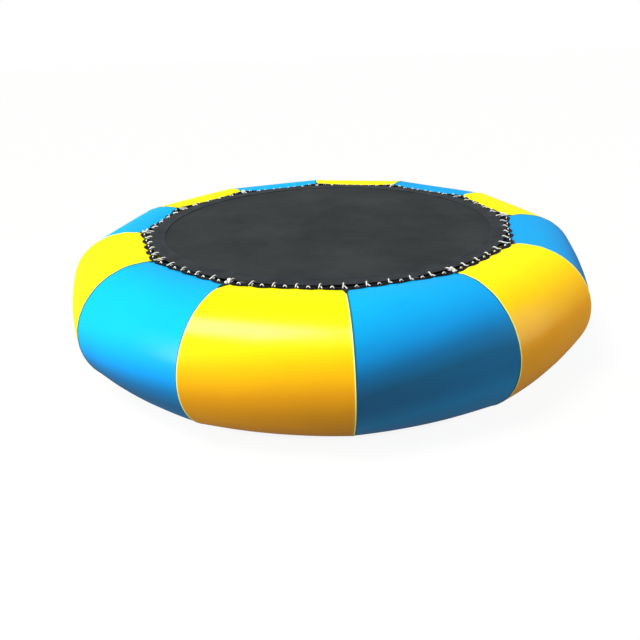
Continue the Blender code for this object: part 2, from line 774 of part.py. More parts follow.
def tab_mesh():
    """Webbing folded round the ring's bar, with its doubled tail on the patch."""
    outside = EYE_RADIUS + TAB_STRAP
    outline = [
        (TAB_TAIL, TAB_BOTTOM),
        (-outside, TAB_BOTTOM),
        (-outside, EYE_HEIGHT + outside),
        (outside, EYE_HEIGHT + outside),
        (outside + TAB_STRAP, TAB_BOTTOM + 2 * TAB_STRAP),
        (TAB_TAIL, TAB_BOTTOM + 2 * TAB_STRAP),
    ]
    body = extruded("tab_body", outline, -TAB_WIDTH / 2, TAB_WIDTH / 2)
    eye = [
        (EYE_RADIUS * x, EYE_HEIGHT + EYE_RADIUS * z) for x, z in unit_polygon(TAB_EYE_SIDES)
    ]
    hole = extruded("tab_eye", eye, -TAB_WIDTH / 2 - OVERRUN, TAB_WIDTH / 2 + OVERRUN)
    return combined("anchor_tab", body, [hole], "DIFFERENCE")


def unit_polygon(sides):
    """Corners of a polygon whose flat sides lie at distance 1 from its centre."""
    reach = 1 / math.cos(math.pi / sides)
    turns = [2 * math.pi * (index + 0.5) / sides for index in range(sides)]
    return [(reach * math.cos(turn), reach * math.sin(turn)) for turn in turns]


def ring_mesh():
    """D-shaped ring: a straight bar along Y at its origin and a bow that hangs below it."""
    half = RING_INNER_WIDTH / 2 + RING_WIRE_RADIUS
    depth = RING_INNER_DEPTH + 2 * RING_WIRE_RADIUS
    centres = [Vector((0, -half, 0)), Vector((0, half, 0))]
    for index in range(RING_ARC_POINTS):
        turn = math.pi * (index + 1) / (RING_ARC_POINTS + 1)
        centres.append(Vector((0, half * math.cos(turn), -depth * math.sin(turn) ** RING_BOW_POWER_SHARE)))
    bm = bmesh.new()
    loops = []
    sides = RING_WIRE_SIDES
    for index, centre in enumerate(centres):
        ahead = (centres[(index + 1) % len(centres)] - centre).normalized()
        back = (centre - centres[index - 1]).normalized()
        along = (ahead + back).normalized()
        across = Vector((1, 0, 0))
        side = along.cross(across)
        stretch = 1 / along.dot(ahead)
        loop = []
        for corner in range(sides):
            turn = 2 * math.pi * corner / sides
            reach = across * math.cos(turn) + side * math.sin(turn) * stretch
            loop.append(bm.verts.new(centre + reach * RING_WIRE_RADIUS))
        loops.append(loop)
    for first, second in zip(loops, loops[1:] + loops[:1]):
        for corner in range(sides):
            after = (corner + 1) % sides
            bm.faces.new((first[corner], first[after], second[after], second[corner]))
    return finished_mesh("anchor_ring", bm)


def make_anchors():
    patch = patch_mesh()
    tab = tab_mesh()
    ring = ring_mesh()
    for number, panel in enumerate(ANCHOR_PANELS, start=1):
        seat = seat_on_skin(panel, ANCHOR_ANGLE)
        add_object(f"anchor_patch_{number}", patch, BLUE if number % 2 else YELLOW, seat)
        add_object(f"anchor_tab_{number}", tab, STRIP_BLACK, seat)
        hang = panel_turn(panel)
        hang.translation = seat @ Vector((0, 0, EYE_HEIGHT))
        add_object(f"anchor_ring_{number}", ring, STEEL, hang)


def main():
    clear_scene()
    make_panels()
    make_strips()
    make_skirt()
    make_mat()
    make_cords()
    make_valve()
    make_anchors()


main()
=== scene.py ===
"""Water trampoline: the looks of an inflated ring of twelve panels with a jump mat laced inside it.

Sizes are in metres, with +Z up and the origin on the ground under the middle of the ring. Lengths that
end in _mm are in millimetres, and are used only to scale patterns.
"""

from __future__ import annotations

import json
import logging
from dataclasses import dataclass
from enum import Enum
from math import acos, atan2, ceil, copysign, cos, exp, inf, pi, radians, remainder, sin, sqrt, tan
from typing import Any, Iterable, Sequence

import bmesh
import bpy
from bpy.types import Light, Material, Node, NodeSocket, NodeTree, Object
from mathutils import Matrix, Vector, noise

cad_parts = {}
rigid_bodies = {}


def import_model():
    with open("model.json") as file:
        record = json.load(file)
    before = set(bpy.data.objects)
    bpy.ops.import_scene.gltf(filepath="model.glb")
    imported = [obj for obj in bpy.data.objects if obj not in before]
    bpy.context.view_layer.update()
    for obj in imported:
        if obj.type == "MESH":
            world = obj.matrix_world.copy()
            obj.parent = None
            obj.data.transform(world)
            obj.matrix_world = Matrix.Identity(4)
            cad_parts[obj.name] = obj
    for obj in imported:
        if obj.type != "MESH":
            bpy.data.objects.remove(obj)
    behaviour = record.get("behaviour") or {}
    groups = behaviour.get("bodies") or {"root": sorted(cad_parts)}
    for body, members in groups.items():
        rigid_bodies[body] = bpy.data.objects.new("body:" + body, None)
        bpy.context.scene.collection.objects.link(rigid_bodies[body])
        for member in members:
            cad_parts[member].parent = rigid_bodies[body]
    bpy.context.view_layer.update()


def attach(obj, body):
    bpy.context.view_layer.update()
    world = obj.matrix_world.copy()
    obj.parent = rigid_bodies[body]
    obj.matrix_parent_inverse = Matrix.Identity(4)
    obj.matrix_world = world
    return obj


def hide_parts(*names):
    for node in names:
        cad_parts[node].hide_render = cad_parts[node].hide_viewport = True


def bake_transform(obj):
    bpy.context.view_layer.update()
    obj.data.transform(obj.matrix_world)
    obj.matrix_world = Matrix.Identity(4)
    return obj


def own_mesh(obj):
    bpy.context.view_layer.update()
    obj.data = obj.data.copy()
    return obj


log = logging.getLogger("water_trampoline")

Point = tuple[float, float]
Colour = tuple[float, float, float, float]
# A point's place on its cloth in millimetres: along, across, and away from a welded edge
Mark = tuple[float, float, float]
Rows = list[list[Vector]]
Marks = list[list[Mark]]

MM = 1000.0
FULL_TURN = 2 * pi
# Pieces that touch are drawn this far apart
SEAT_GAP = 0.0003
# The mark of a point that is nowhere near a welded edge
FAR_MM = 99.0
SHARP_ANGLE = radians(40)
ON_AXIS = 1e-9
# The most of a side that the bend at one of its ends takes up
BEND_SHARE = 0.45
# Places across a strap or band, closer together at its edges, and its thickness there
BAND_SHARES = (0.0, 0.03, 0.2, 0.4, 0.6, 0.8, 0.97, 1.0)
BAND_THINNED = (0.25, 1.0, 1.0, 1.0, 1.0, 1.0, 1.0, 0.25)


class Colouring(Enum):
    """The two fabric colours that alternate round the ring."""

    YELLOW = "yellow"
    BLUE = "blue"


class Body(Enum):
    """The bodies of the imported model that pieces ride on."""

    RING = "ring"
    MAT = "mat"
    TETHER = "tether"
    CAP = "cap"
    POPPET = "poppet"


# Colours and node trees


def linear(hex_colour: str) -> Colour:
    """Turns an sRGB hex colour into linear values.

    Args:
        hex_colour: Six hex digits after a hash sign.

    Returns:
        Linear red, green and blue, with an alpha of 1.
    """
    channels = [int(hex_colour[i : i + 2], 16) / 255 for i in (1, 3, 5)]
    red, green, blue = [c / 12.92 if c <= 0.04045 else ((c + 0.055) / 1.055) ** 2.4 for c in channels]
    return (red, green, blue, 1.0)


def feed(node: Node, links: dict[str | int, Any]) -> None:
    """Sets a node's inputs, a constant on the input's own socket.

    Args:
        node: The node.
        links: For each input, by name or number, a constant, or the socket or the node that feeds it.
    """
    for key, value in links.items():
        source = value.outputs[0] if isinstance(value, Node) else value
        if isinstance(source, NodeSocket):
            node.id_data.links.new(source, node.inputs[key])
        else:
            node.inputs[key].default_value = source


def add_node(
    tree: NodeTree, kind: str, links: dict[str | int, Any] | None = None, **settings: Any
) -> Node:
    """Adds a node with its links and settings.

    Args:
        tree: The node tree that gets the node.
        kind: The node's type name.
        links: For each input, by name or number, a constant, or the socket or the node that feeds it.
        settings: Values for the node's own properties.

    Returns:
        The new node.
    """
    node = tree.nodes.new(kind)
    for name, value in settings.items():
        setattr(node, name, value)
    feed(node, links or {})
    return node


def set_ramp(node: Node, stops: Sequence[tuple[float, str]]) -> Node:
    """Gives a Color Ramp node its stops.

    Args:
        node: The ramp.
        stops: Positions from 0 to 1 with their hex colours, in rising order.

    Returns:
        The same ramp.
    """
    elements = node.color_ramp.elements
    for element, (position, colour) in zip(elements, (stops[0], stops[-1])):
        element.position, element.color = position, linear(colour)
    for position, colour in stops[1:-1]:
        elements.new(position).color = linear(colour)
    return node


def wave_scale(period_mm: float) -> float:
    """The Wave Texture scale whose bands lie period_mm apart, on coordinates in millimetres."""
    return pi / 10 / period_mm


def noise_scale(size_mm: float) -> float:
    """The Noise Texture scale whose patches are size_mm across, on coordinates in metres."""
    return MM / size_mm


def weave_height(tree: NodeTree, place: Any, period_mm: float, turn: float = 0.0) -> Node:
    """Adds two crossed wave patterns for warp and weft.

    Args:
        tree: The node tree that gets them.
        place: The socket or node that gives coordinates in millimetres.
        period_mm: The distance from thread to thread.
        turn: How far the threads are turned from the cloth's axes, in radians.

    Returns:
        The node that gives the height of the weave, from 0 to 2.
    """
    if turn:
        place = add_node(tree, "ShaderNodeMapping", {"Vector": place, "Rotation": (0.0, 0.0, turn)})
    links = {"Vector": place, "Scale": wave_scale(period_mm)}
    waves = [add_node(tree, "ShaderNodeTexWave", links, bands_direction=axis).outputs["Fac"] for axis in "XY"]
    return add_node(tree, "ShaderNodeMath", {0: waves[0], 1: waves[1]}, operation="ADD")


def new_material(name: str) -> tuple[Material, NodeTree, Node]:
    """Makes a node material.

    Args:
        name: The material's name.

    Returns:
        The material, its node tree and its Principled shader.
    """
    material = bpy.data.materials.new(name)
    material.use_nodes = True
    return material, material.node_tree, material.node_tree.nodes["Principled BSDF"]


# Finishes, each from what the real material is


@dataclass(frozen=True)
class Finish:
    """A surface finish, whose material is built when a piece first asks for it."""

    name: str

    def material(self) -> Material:
        """The finish's one material."""
        made = bpy.data.materials.get(self.name)
        if made is None:
            made, tree, shader = new_material(self.name)
            self.dress(tree, shader)
        return made

    def dress(self, tree: NodeTree, shader: Node) -> None:
        """Adds the finish's nodes to a new material.

        Args:
            tree: The material's node tree.
            shader: Its Principled shader.
        """
        raise NotImplementedError


@dataclass(frozen=True)
class CoatedFabric(Finish):
    """PVC-coated polyester tarpaulin with a thin acrylic lacquer: a soft gloss over a deep colour, with
    painted shade towards the bottom and painted light on one side.
    """

    colour_and_shade_stops: tuple[tuple[float, str], ...]
    lap_edge_glue_and_light: str
    lap_edge_glue_and_light_mm: float
    painted_side_light: float
    shade_heights: tuple[float, float] = (0.05, 0.64)
    shade_start: float = 0.6
    cloud_mm: float = 222.2
    wear_mm: float = 71.43
    thread_mm: float = 2.8
    roughness: float = 0.25
    lacquer: float = 0.10
    lacquer_ior: float = 2.4

    def dress(self, tree: NodeTree, shader: Node) -> None:
        """Colours the fabric by height with painted shade and lighter to one side with painted light, draws a
        weld line with painted lap light, and adds the cloth's threads.
        """
        place = add_node(tree, "ShaderNodeTexCoord").outputs["Object"]
        cloth = add_node(tree, "ShaderNodeAttribute", attribute_name="cloth_mm").outputs["Vector"]
        sides = add_node(tree, "ShaderNodeSeparateXYZ", {0: place}).outputs
        # Painted shade: the colour stops run darker towards the bottom of the tube, where less light falls
        low, high = self.shade_heights
        share = add_node(
            tree, "ShaderNodeMapRange", {"Value": sides["Z"], "From Min": low, "From Max": high}
        )
        # Painted light: the colour scale shifts lighter towards -X, the side that the lamps light most
        side_light_x = add_node(tree, "ShaderNodeMath", {0: sides["X"], 1: self.shade_start}, operation="MINIMUM")
        side_light_inputs = {0: side_light_x, 1: self.painted_side_light, 2: share}
        body = set_ramp(
            add_node(
                tree,
                "ShaderNodeValToRGB",
                {0: add_node(tree, "ShaderNodeMath", side_light_inputs, operation="MULTIPLY_ADD")},
            ),
            self.colour_and_shade_stops,
        )
        # Handling and water leave faint clouds a few hand widths across
        cloud = add_node(
            tree, "ShaderNodeTexNoise", {"Vector": place, "Scale": noise_scale(self.cloud_mm), "Detail": 3.0}
        )
        tone = add_node(tree, "ShaderNodeMapRange", {"Value": cloud, "To Min": 0.95, "To Max": 1.05})
        clouded = add_node(
            tree, "ShaderNodeMix", {0: 1.0, 6: body, 7: tone}, data_type="RGBA", blend_type="MULTIPLY"
        ).outputs[2]
        # The weld's edge is drawn a little wider than the real 3 mm, so that it shows. It is a glue line with
        # painted light: a pale painted edge highlight on yellow, a dark painted lap shadow on blue
        edge = add_node(tree, "ShaderNodeSeparateXYZ", {0: cloth}).outputs["Z"]
        fade = {"From Min": self.lap_edge_glue_and_light_mm * 0.7, "From Max": self.lap_edge_glue_and_light_mm * 1.3}
        line = add_node(
            tree,
            "ShaderNodeMapRange",
            {"Value": edge, **fade, "To Min": 1.0, "To Max": 0.0},
            interpolation_type="SMOOTHSTEP",
        )
        with_lap_edge_light = add_node(
            tree, "ShaderNodeMix", {0: line, 6: clouded, 7: linear(self.lap_edge_glue_and_light)}, data_type="RGBA"
        ).outputs[2]
        wear = add_node(
            tree, "ShaderNodeTexNoise", {"Vector": place, "Scale": noise_scale(self.wear_mm), "Detail": 4.0}
        )
        rough = {"To Min": self.roughness - 0.05, "To Max": self.roughness + 0.07}
        threads = weave_height(tree, cloth, self.thread_mm)
        bump = {"Height": threads, "Strength": 0.12, "Distance": 0.0001}
        # All the gloss is in a little lacquer of a high index: it keeps the highlights, and has no white
        # haze at grazing angles
        links = {
            "Base Color": with_lap_edge_light,
            "Roughness": add_node(tree, "ShaderNodeMapRange", {"Value": wear, **rough}),
            "Specular IOR Level": 0.0,
            "Coat Weight": self.lacquer,
            "Coat IOR": self.lacquer_ior,
            "Coat Roughness": self.roughness,
            "Normal": add_node(tree, "ShaderNodeBump", bump),
        }
        feed(shader, links)


@dataclass(frozen=True)
class WovenMesh(Finish):
    """Polypropylene jump mat, woven from flat tapes: matt, and mottled by wear."""

    dark: str
    light: str
    wear_mm: float = 434.8
    tape_mm: float = 5.0

    def dress(self, tree: NodeTree, shader: Node) -> None:
        """Mottles the greys and raises the tapes."""
        place = add_node(tree, "ShaderNodeTexCoord").outputs["Object"]
        scaled = add_node(tree, "ShaderNodeMapping", {"Vector": place, "Scale": (MM, MM, MM)})
        size = noise_scale(self.wear_mm)
        wear = add_node(
            tree, "ShaderNodeTexNoise", {"Vector": place, "Scale": size, "Detail": 5.0, "Roughness": 0.62}
        )
        greys = set_ramp(
            add_node(tree, "ShaderNodeValToRGB", {0: wear}), [(0.34, self.dark), (0.68, self.light)]
        )
        # Real tapes are 2 mm wide: they are drawn at 5 mm so that the weave shows
        tapes = weave_height(tree, scaled, self.tape_mm)
        grooves = {"Value": tapes, "From Max": 2.0, "To Min": 0.86, "To Max": 1.08}
        shade = add_node(tree, "ShaderNodeMapRange", grooves)
        woven = add_node(
            tree, "ShaderNodeMix", {0: 1.0, 6: greys, 7: shade}, data_type="RGBA", blend_type="MULTIPLY"
        ).outputs[2]
        bump = add_node(tree, "ShaderNodeBump", {"Height": tapes, "Strength": 0.35, "Distance": 0.0004})
        feed(shader, {"Base Color": woven, "Roughness": 0.75, "Specular IOR Level": 0.03, "Normal": bump})


@dataclass(frozen=True)
class Webbing(Finish):
    """Polyester webbing or coated band cloth: satin, with a fine rib across it."""

    colour: str
    worn: str
    rib_mm: float
    roughness: float = 0.6
    fade_mm: float = 111.1

    def dress(self, tree: NodeTree, shader: Node) -> None:
        """Raises the ribs and fades the colour a little."""
        place = add_node(tree, "ShaderNodeTexCoord").outputs["Object"]
        cloth = add_node(tree, "ShaderNodeAttribute", attribute_name="cloth_mm").outputs["Vector"]
        fade = add_node(
            tree, "ShaderNodeTexNoise", {"Vector": place, "Scale": noise_scale(self.fade_mm), "Detail": 4.0}
        )
        faded = set_ramp(
            add_node(tree, "ShaderNodeValToRGB", {0: fade}), [(0.38, self.colour), (0.72, self.worn)]
        )
        ribs = weave_height(tree, cloth, self.rib_mm)
        bump = add_node(tree, "ShaderNodeBump", {"Height": ribs, "Strength": 0.4, "Distance": 0.0003})
        links = {"Roughness": self.roughness, "Specular IOR Level": 0.06, "Normal": bump}
        feed(shader, {"Base Color": faded, **links})


@dataclass(frozen=True)
class BraidedCord(Finish):
    """Shock cord: latex strands in a white braided polyester cover, matt, and darker in the braid's grooves.
    """

    clean: str
    darker_in_grooves: str
    braid_mm: float = 2.4

    def dress(self, tree: NodeTree, shader: Node) -> None:
        """Raises a diagonal braid, and colours it darker in its grooves."""
        cloth = add_node(tree, "ShaderNodeAttribute", attribute_name="cloth_mm").outputs["Vector"]
        braid = weave_height(tree, cloth, self.braid_mm, turn=radians(45))
        darker_in_grooves = set_ramp(
            add_node(tree, "ShaderNodeValToRGB", {0: braid}), [(0.05, self.darker_in_grooves), (0.55, self.clean)]
        )
        bump = add_node(tree, "ShaderNodeBump", {"Height": braid, "Strength": 0.5, "Distance": 0.0004})
        feed(shader, {"Base Color": darker_in_grooves, "Roughness": 0.75, "Sheen Weight": 0.2, "Normal": bump})


@dataclass(frozen=True)
class MouldedPolymer(Finish):
    """Injection-moulded nylon or rubber: an even colour with a spark-eroded grain."""

    colour: str
    roughness: float
    ior: float
    grain_mm: float = 0.6
    tone_mm: float = 25.0

    def dress(self, tree: NodeTree, shader: Node) -> None:
        """Adds a grain to bump and roughness, and faint tone changes."""
        place = add_node(tree, "ShaderNodeTexCoord").outputs["Object"]
        grain = add_node(
            tree, "ShaderNodeTexNoise", {"Vector": place, "Scale": noise_scale(self.grain_mm), "Detail": 2.0}
        )
        tone = add_node(
            tree, "ShaderNodeTexNoise", {"Vector": place, "Scale": noise_scale(self.tone_mm), "Detail": 3.0}
        )
        shade = add_node(tree, "ShaderNodeMapRange", {"Value": tone, "To Min": 0.85, "To Max": 1.15})
        colours = {0: 1.0, 6: linear(self.colour), 7: shade}
        toned = add_node(tree, "ShaderNodeMix", colours, data_type="RGBA", blend_type="MULTIPLY").outputs[2]
        rough = {"Value": grain, "To Min": self.roughness - 0.06, "To Max": self.roughness + 0.06}
        bump = add_node(tree, "ShaderNodeBump", {"Height": grain, "Strength": 0.15, "Distance": 0.0001})
        links = {"Roughness": add_node(tree, "ShaderNodeMapRange", rough), "IOR": self.ior, "Normal": bump}
        feed(shader, {"Base Color": toned, **links})


@dataclass(frozen=True)
class BrightMetal(Finish):
    """Stainless steel wire or plated brass: polished, with fine drawing lines and handling marks."""

    colour: str
    roughness: float
    smudge_mm: float = 11.11

    def dress(self, tree: NodeTree, shader: Node) -> None:
        """Makes it metal, with a smudged roughness."""
        place = add_node(tree, "ShaderNodeTexCoord").outputs["Object"]
        smudge = add_node(
            tree, "ShaderNodeTexNoise", {"Vector": place, "Scale": noise_scale(self.smudge_mm), "Detail": 4.0}
        )
        rough = {"Value": smudge, "To Min": self.roughness - 0.08, "To Max": self.roughness + 0.1}
        bump = add_node(tree, "ShaderNodeBump", {"Height": smudge, "Strength": 0.08, "Distance": 0.0002})
        links = {"Roughness": add_node(tree, "ShaderNodeMapRange", rough), "Metallic": 1.0, "Normal": bump}
        feed(shader, {"Base Color": linear(self.colour), **links})


# Painted light in these fabrics: their colour stops darken towards the bottom of the tube as painted shade,
# their -X side is painted lighter, and their weld lines hold a painted edge highlight on yellow and a painted
# lap shadow on blue
FABRIC_FINISH = {
    Colouring.YELLOW: CoatedFabric(
        "pvc_fabric_yellow",
        colour_and_shade_stops=((0.0, "#DC9400"), (0.5, "#F3A800"), (0.72, "#FFC900"), (0.93, "#FFF400")),
        lap_edge_glue_and_light="#F6F7A0",
        lap_edge_glue_and_light_mm=5.0,
        painted_side_light=-0.15,
    ),
    Colouring.BLUE: CoatedFabric(
        "pvc_fabric_blue",
        colour_and_shade_stops=(
            (0.0, "#0081BE"), (0.16, "#0086C4"), (0.32, "#006CA3"), (0.46, "#00608E"),
            (0.60, "#0072B0"), (0.72, "#0093E0"), (0.84, "#00A6EE"), (0.97, "#00B4F8"),
        ),
        lap_edge_glue_and_light="#006F86",
        lap_edge_glue_and_light_mm=7.0,
        painted_side_light=-0.28,
    ),
}
MAT_FINISH = WovenMesh("polypropylene_mat", "#2C2F31", "#383C3E")
SKIRT_FINISH = Webbing("coated_band", "#262A2E", "#32373B", rib_mm=3.0, roughness=0.7)
STRAP_FINISH = Webbing("black_webbing", "#0D0F13", "#22262C", rib_mm=2.0)
THREAD_FINISH = Webbing("polyester_thread", "#33373C", "#4A4F55", rib_mm=1.0)
CORD_FINISH = BraidedCord("white_shock_cord", "#F4F4F0", "#B9B8B0")
NYLON_FINISH = MouldedPolymer("moulded_nylon", "#3F4245", roughness=0.42, ior=1.53)
RUBBER_FINISH = MouldedPolymer("moulded_rubber", "#1A1B1C", roughness=0.62, ior=1.52)
STEEL_FINISH = BrightMetal("stainless_wire", "#C9CCCF", roughness=0.2)
EYELET_FINISH = BrightMetal("black_nickel_plated_brass", "#3B3A39", roughness=0.36)


# Points and outlines


def smoothstep(value: float, start: float, end: float) -> float:
    """A soft step from 0 at start to 1 at end."""
    share = min(1.0, max(0.0, (value - start) / (end - start)))
    return share * share * (3 - 2 * share)


def turns(count: int) -> list[float]:
    """The angles of count points, evenly round a circle."""
    return [FULL_TURN * index / count for index in range(count)]


def ring_point(radius: float, angle: float, height: float) -> Vector:
    """A point on a circle about the Z axis."""
    return Vector((radius * cos(angle), radius * sin(angle), height))


def direction(azimuth: float, elevation: float) -> Vector:
    """The unit vector that points to an azimuth and an elevation."""
    return ring_point(cos(elevation), azimuth, sin(elevation))


def bend(
    before: Vector, here: Vector, after: Vector, radius: float, steps: int, most: float = BEND_SHARE
) -> list[Vector]:
    """Rounds one corner.

    Args:
        before: The corner's neighbour on the near side.
        here: The corner.
        after: Its neighbour on the far side.
        radius: How far from the corner the bend starts, less where a side is short.
        steps: Pieces along the bend.
        most: The most of a side that the bend takes up.

    Returns:
        Points along the bend, from the near side.
    """
    back, onward = before - here, after - here
    cut = min(radius, back.length * most, onward.length * most)
    start, end = here + back.normalized() * cut, here + onward.normalized() * cut
    shares = [step / steps for step in range(steps + 1)]
    return [start.lerp(here, share).lerp(here.lerp(end, share), share) for share in shares]


def rounded(profile: Sequence[Point], radius: float, steps: int) -> list[Point]:
    """Rounds the corners of a closed outline.

    Args:
        profile: The outline's corners.
        radius: The fillet's radius, less where a side is short.
        steps: Pieces along each fillet.

    Returns:
        The outline with its corners rounded, apart from those on the axis.
    """
    result: list[Point] = []
    for index, corner in enumerate(profile):
        if corner[0] < ON_AXIS:
            result.append(corner)
            continue
        before, after = Vector(profile[index - 1]), Vector(profile[(index + 1) % len(profile)])
        result += [(point.x, point.y) for point in bend(before, Vector(corner), after, radius, steps)]
    return result


def plug(radius: float, reach: float) -> list[Point]:
    """The outline of a plain cutter for a hole, reaching as far below its origin as above."""
    return [(0, -reach), (radius, -reach), (radius, reach), (0, reach)]


def strap_row(centreline: Sequence[Vector], half: float, place: Matrix) -> list[Vector]:
    """The section of a strap whose middle follows a line in an XZ plane.

    Args:
        centreline: Points along the strap's middle.
        half: Half its thickness, to the side on which its outer face lies.
        place: The frame that the line is drawn in.

    Returns:
        The outer face's points, and the inner face's back to the start.
    """
    outer: list[Vector] = []
    inner: list[Vector] = []
    last = len(centreline) - 1
    for index, point in enumerate(centreline):
        along = (centreline[min(index + 1, last)] - centreline[max(index - 1, 0)]).normalized()
        normal = Vector((along.z, 0.0, -along.x))
        outer.append(place @ (point + normal * half))
        inner.append(place @ (point - normal * half))
    return outer + inner[::-1]


# Meshes


def mesh_object(
    name: str, verts: Iterable[Vector], faces: Iterable[Sequence[int]], material: Material,
    cloth: Sequence[Mark] = ()
) -> Object:
    """Links a smooth-shaded mesh.

    Args:
        name: The piece's name.
        verts: Corner points.
        faces: Corner numbers of each face.
        material: The piece's material.
        cloth: The mark of each point, if it has any.

    Returns:
        The new object.
    """
    mesh = bpy.data.meshes.new(name)
    mesh.from_pydata([tuple(v) for v in verts], [], [tuple(f) for f in faces])
    mesh.validate()
    if cloth:
        layer = mesh.attributes.new("cloth_mm", "FLOAT_VECTOR", "POINT")
        layer.data.foreach_set("vector", [value for mark in cloth for value in mark])
    mesh.materials.append(material)
    mesh.shade_smooth()
    obj = bpy.data.objects.new(name, mesh)
    bpy.context.scene.collection.objects.link(obj)
    return obj


def outward(obj: Object) -> Object:
    """Turns a closed mesh's faces out and marks its sharp edges.

    Args:
        obj: The object.

    Returns:
        The same object.
    """
    bm = bmesh.new()
    bm.from_mesh(obj.data)
    bmesh.ops.recalc_face_normals(bm, faces=bm.faces)
    bm.to_mesh(obj.data)
    bm.free()
    obj.data.shade_smooth()
    obj.data.set_sharp_from_angle(angle=SHARP_ANGLE)
    return obj


def cut_out(obj: Object, cutter: Object) -> None:
    """Cuts one object out of another and removes the cutter.

    Args:
        obj: The object that gets the hole.
        cutter: The object that leaves it.
    """
    modifier = obj.modifiers.new("cut", "BOOLEAN")
    modifier.operation = "DIFFERENCE"
    modifier.object = cutter
    bpy.context.view_layer.update()
    graph = bpy.context.evaluated_depsgraph_get()
    mesh = bpy.data.meshes.new_from_object(obj.evaluated_get(graph))
    obj.modifiers.clear()
    obj.data = mesh
    bpy.data.objects.remove(cutter, do_unlink=True)
    obj.data.set_sharp_from_angle(angle=SHARP_ANGLE)


class MeshBuilder:
    """Collects points and faces of a piece made of several bodies."""

    def __init__(self) -> None:
        """Starts empty."""
        self.verts: list[Vector] = []
        self.faces: list[tuple[int, ...]] = []
        self.cloth: list[Mark] = []

    def add_grid(
        self, rows: Sequence[Sequence[Vector]], cloth: Sequence[Sequence[Mark]] = (),
        closed_rows: bool = False,
    ) -> MeshBuilder:
        """Adds a grid of faces whose rows close on themselves.

        Args:
            rows: Rows of points, all of one length.
            cloth: The marks of the same points.
            closed_rows: Whether the last row joins the first, or both get an end face.

        Returns:
            The builder.
        """
        start = len(self.verts)
        width = len(rows[0])
        for index, row in enumerate(rows):
            self.verts.extend(row)
            self.cloth.extend(cloth[index] if cloth else [(0.0, 0.0, FAR_MM)] * width)
        for i in range(len(rows) if closed_rows else len(rows) - 1):
            below = start + i * width
            above = start + (i + 1) % len(rows) * width
            for j in range(width):
                after = (j + 1) % width
                self.faces.append((below + j, below + after, above + after, above + j))
        if not closed_rows:
            last = start + (len(rows) - 1) * width
            self.faces.append(tuple(range(start, start + width))[::-1])
            self.faces.append(tuple(range(last, last + width)))
        return self

    def add_tube(
        self, points: Sequence[Vector], radius: float, sides: int, closed: bool = False,
        flat: Point = (1.0, 1.0), up: Vector | None = None,
    ) -> MeshBuilder:
        """Adds a round or flattened tube along points.

        Args:
            points: The centreline.
            radius: The tube's radius.
            sides: Faces round the tube.
            closed: Whether the tube closes on itself.
            flat: Shares of the radius across and along the section's own axes.
            up: A direction that the section's second axis keeps to, for flat straps.

        Returns:
            The builder.
        """
        count = len(points)
        rows: Rows = []
        cloth: Marks = []
        side: Vector | None = None
        travelled = 0.0
        for index, point in enumerate(points):
            before = points[index - 1] if index or closed else point
            after = points[(index + 1) % count] if index + 1 < count or closed else point
            along = (after - before).normalized()
            if up is not None:
                side = along.cross(up).normalized()
            elif side is None:
                side = along.orthogonal().normalized()
            else:
                side = (side - along * side.dot(along)).normalized()
            across, rise = side * flat[0], side.cross(along) * flat[1]
            if index:
                travelled += (point - points[index - 1]).length
            reaches = [across * cos(turn) + rise * sin(turn) for turn in turns(sides)]
            rows.append([point + reach * radius for reach in reaches])
            cloth.append([(MM * travelled, MM * turn * radius, FAR_MM) for turn in turns(sides)])
        return self.add_grid(rows, cloth, closed_rows=closed)

    def add_turned(self, profile: Sequence[Point], sides: int, place: Matrix) -> MeshBuilder:
        """Adds a body of revolution about Z.

        Args:
            profile: A closed outline of (radius, height) points. Points on the axis share one vertex.
            sides: Faces round the body.
            place: Where the body's own frame lies.

        Returns:
            The builder.
        """
        rings: list[list[int]] = []
        for radius, height in profile:
            start = len(self.verts)
            for turn in turns(1 if radius < ON_AXIS else sides):
                self.verts.append(place @ ring_point(radius, turn, height))
                self.cloth.append((MM * radius * turn, MM * height, FAR_MM))
            rings.append(list(range(start, len(self.verts))))
        for first, second in zip(rings, rings[1:] + rings[:1]):
            if len(first) == 1 and len(second) == 1:
                continue
            for index in range(sides):
                corners = [first[index % len(first)], first[(index + 1) % sides % len(first)]]
                corners += [second[(index + 1) % sides % len(second)], second[index % len(second)]]
                self.faces.append(tuple(dict.fromkeys(corners)))
        return self

    def object(self, name: str, finish: Finish) -> Object:
        """Makes the collected bodies one object, with its faces out."""
        return outward(mesh_object(name, self.verts, self.faces, finish.material(), self.cloth))


def place_piece(
    piece: Object, body: Body | str, replaced: str | None = None
) -> Object:
    """Makes a piece ride on its body and report itself.

    Args:
        piece: The piece, in place.
        body: The body that it moves with.
        replaced: The solid that it stands for, if it does.

    Returns:
        The piece.
    """
    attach(piece, body.value if isinstance(body, Body) else body)
    if replaced:
        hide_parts(replaced)
    log.info("%s: %d faces", piece.name, len(piece.data.polygons))
    return piece


# The tube's shape


@dataclass(frozen=True)
class Seat:
    """A flat place on a panel, where a stiff flange or patch is welded."""

    panel: int
    angle: float
    radius: float


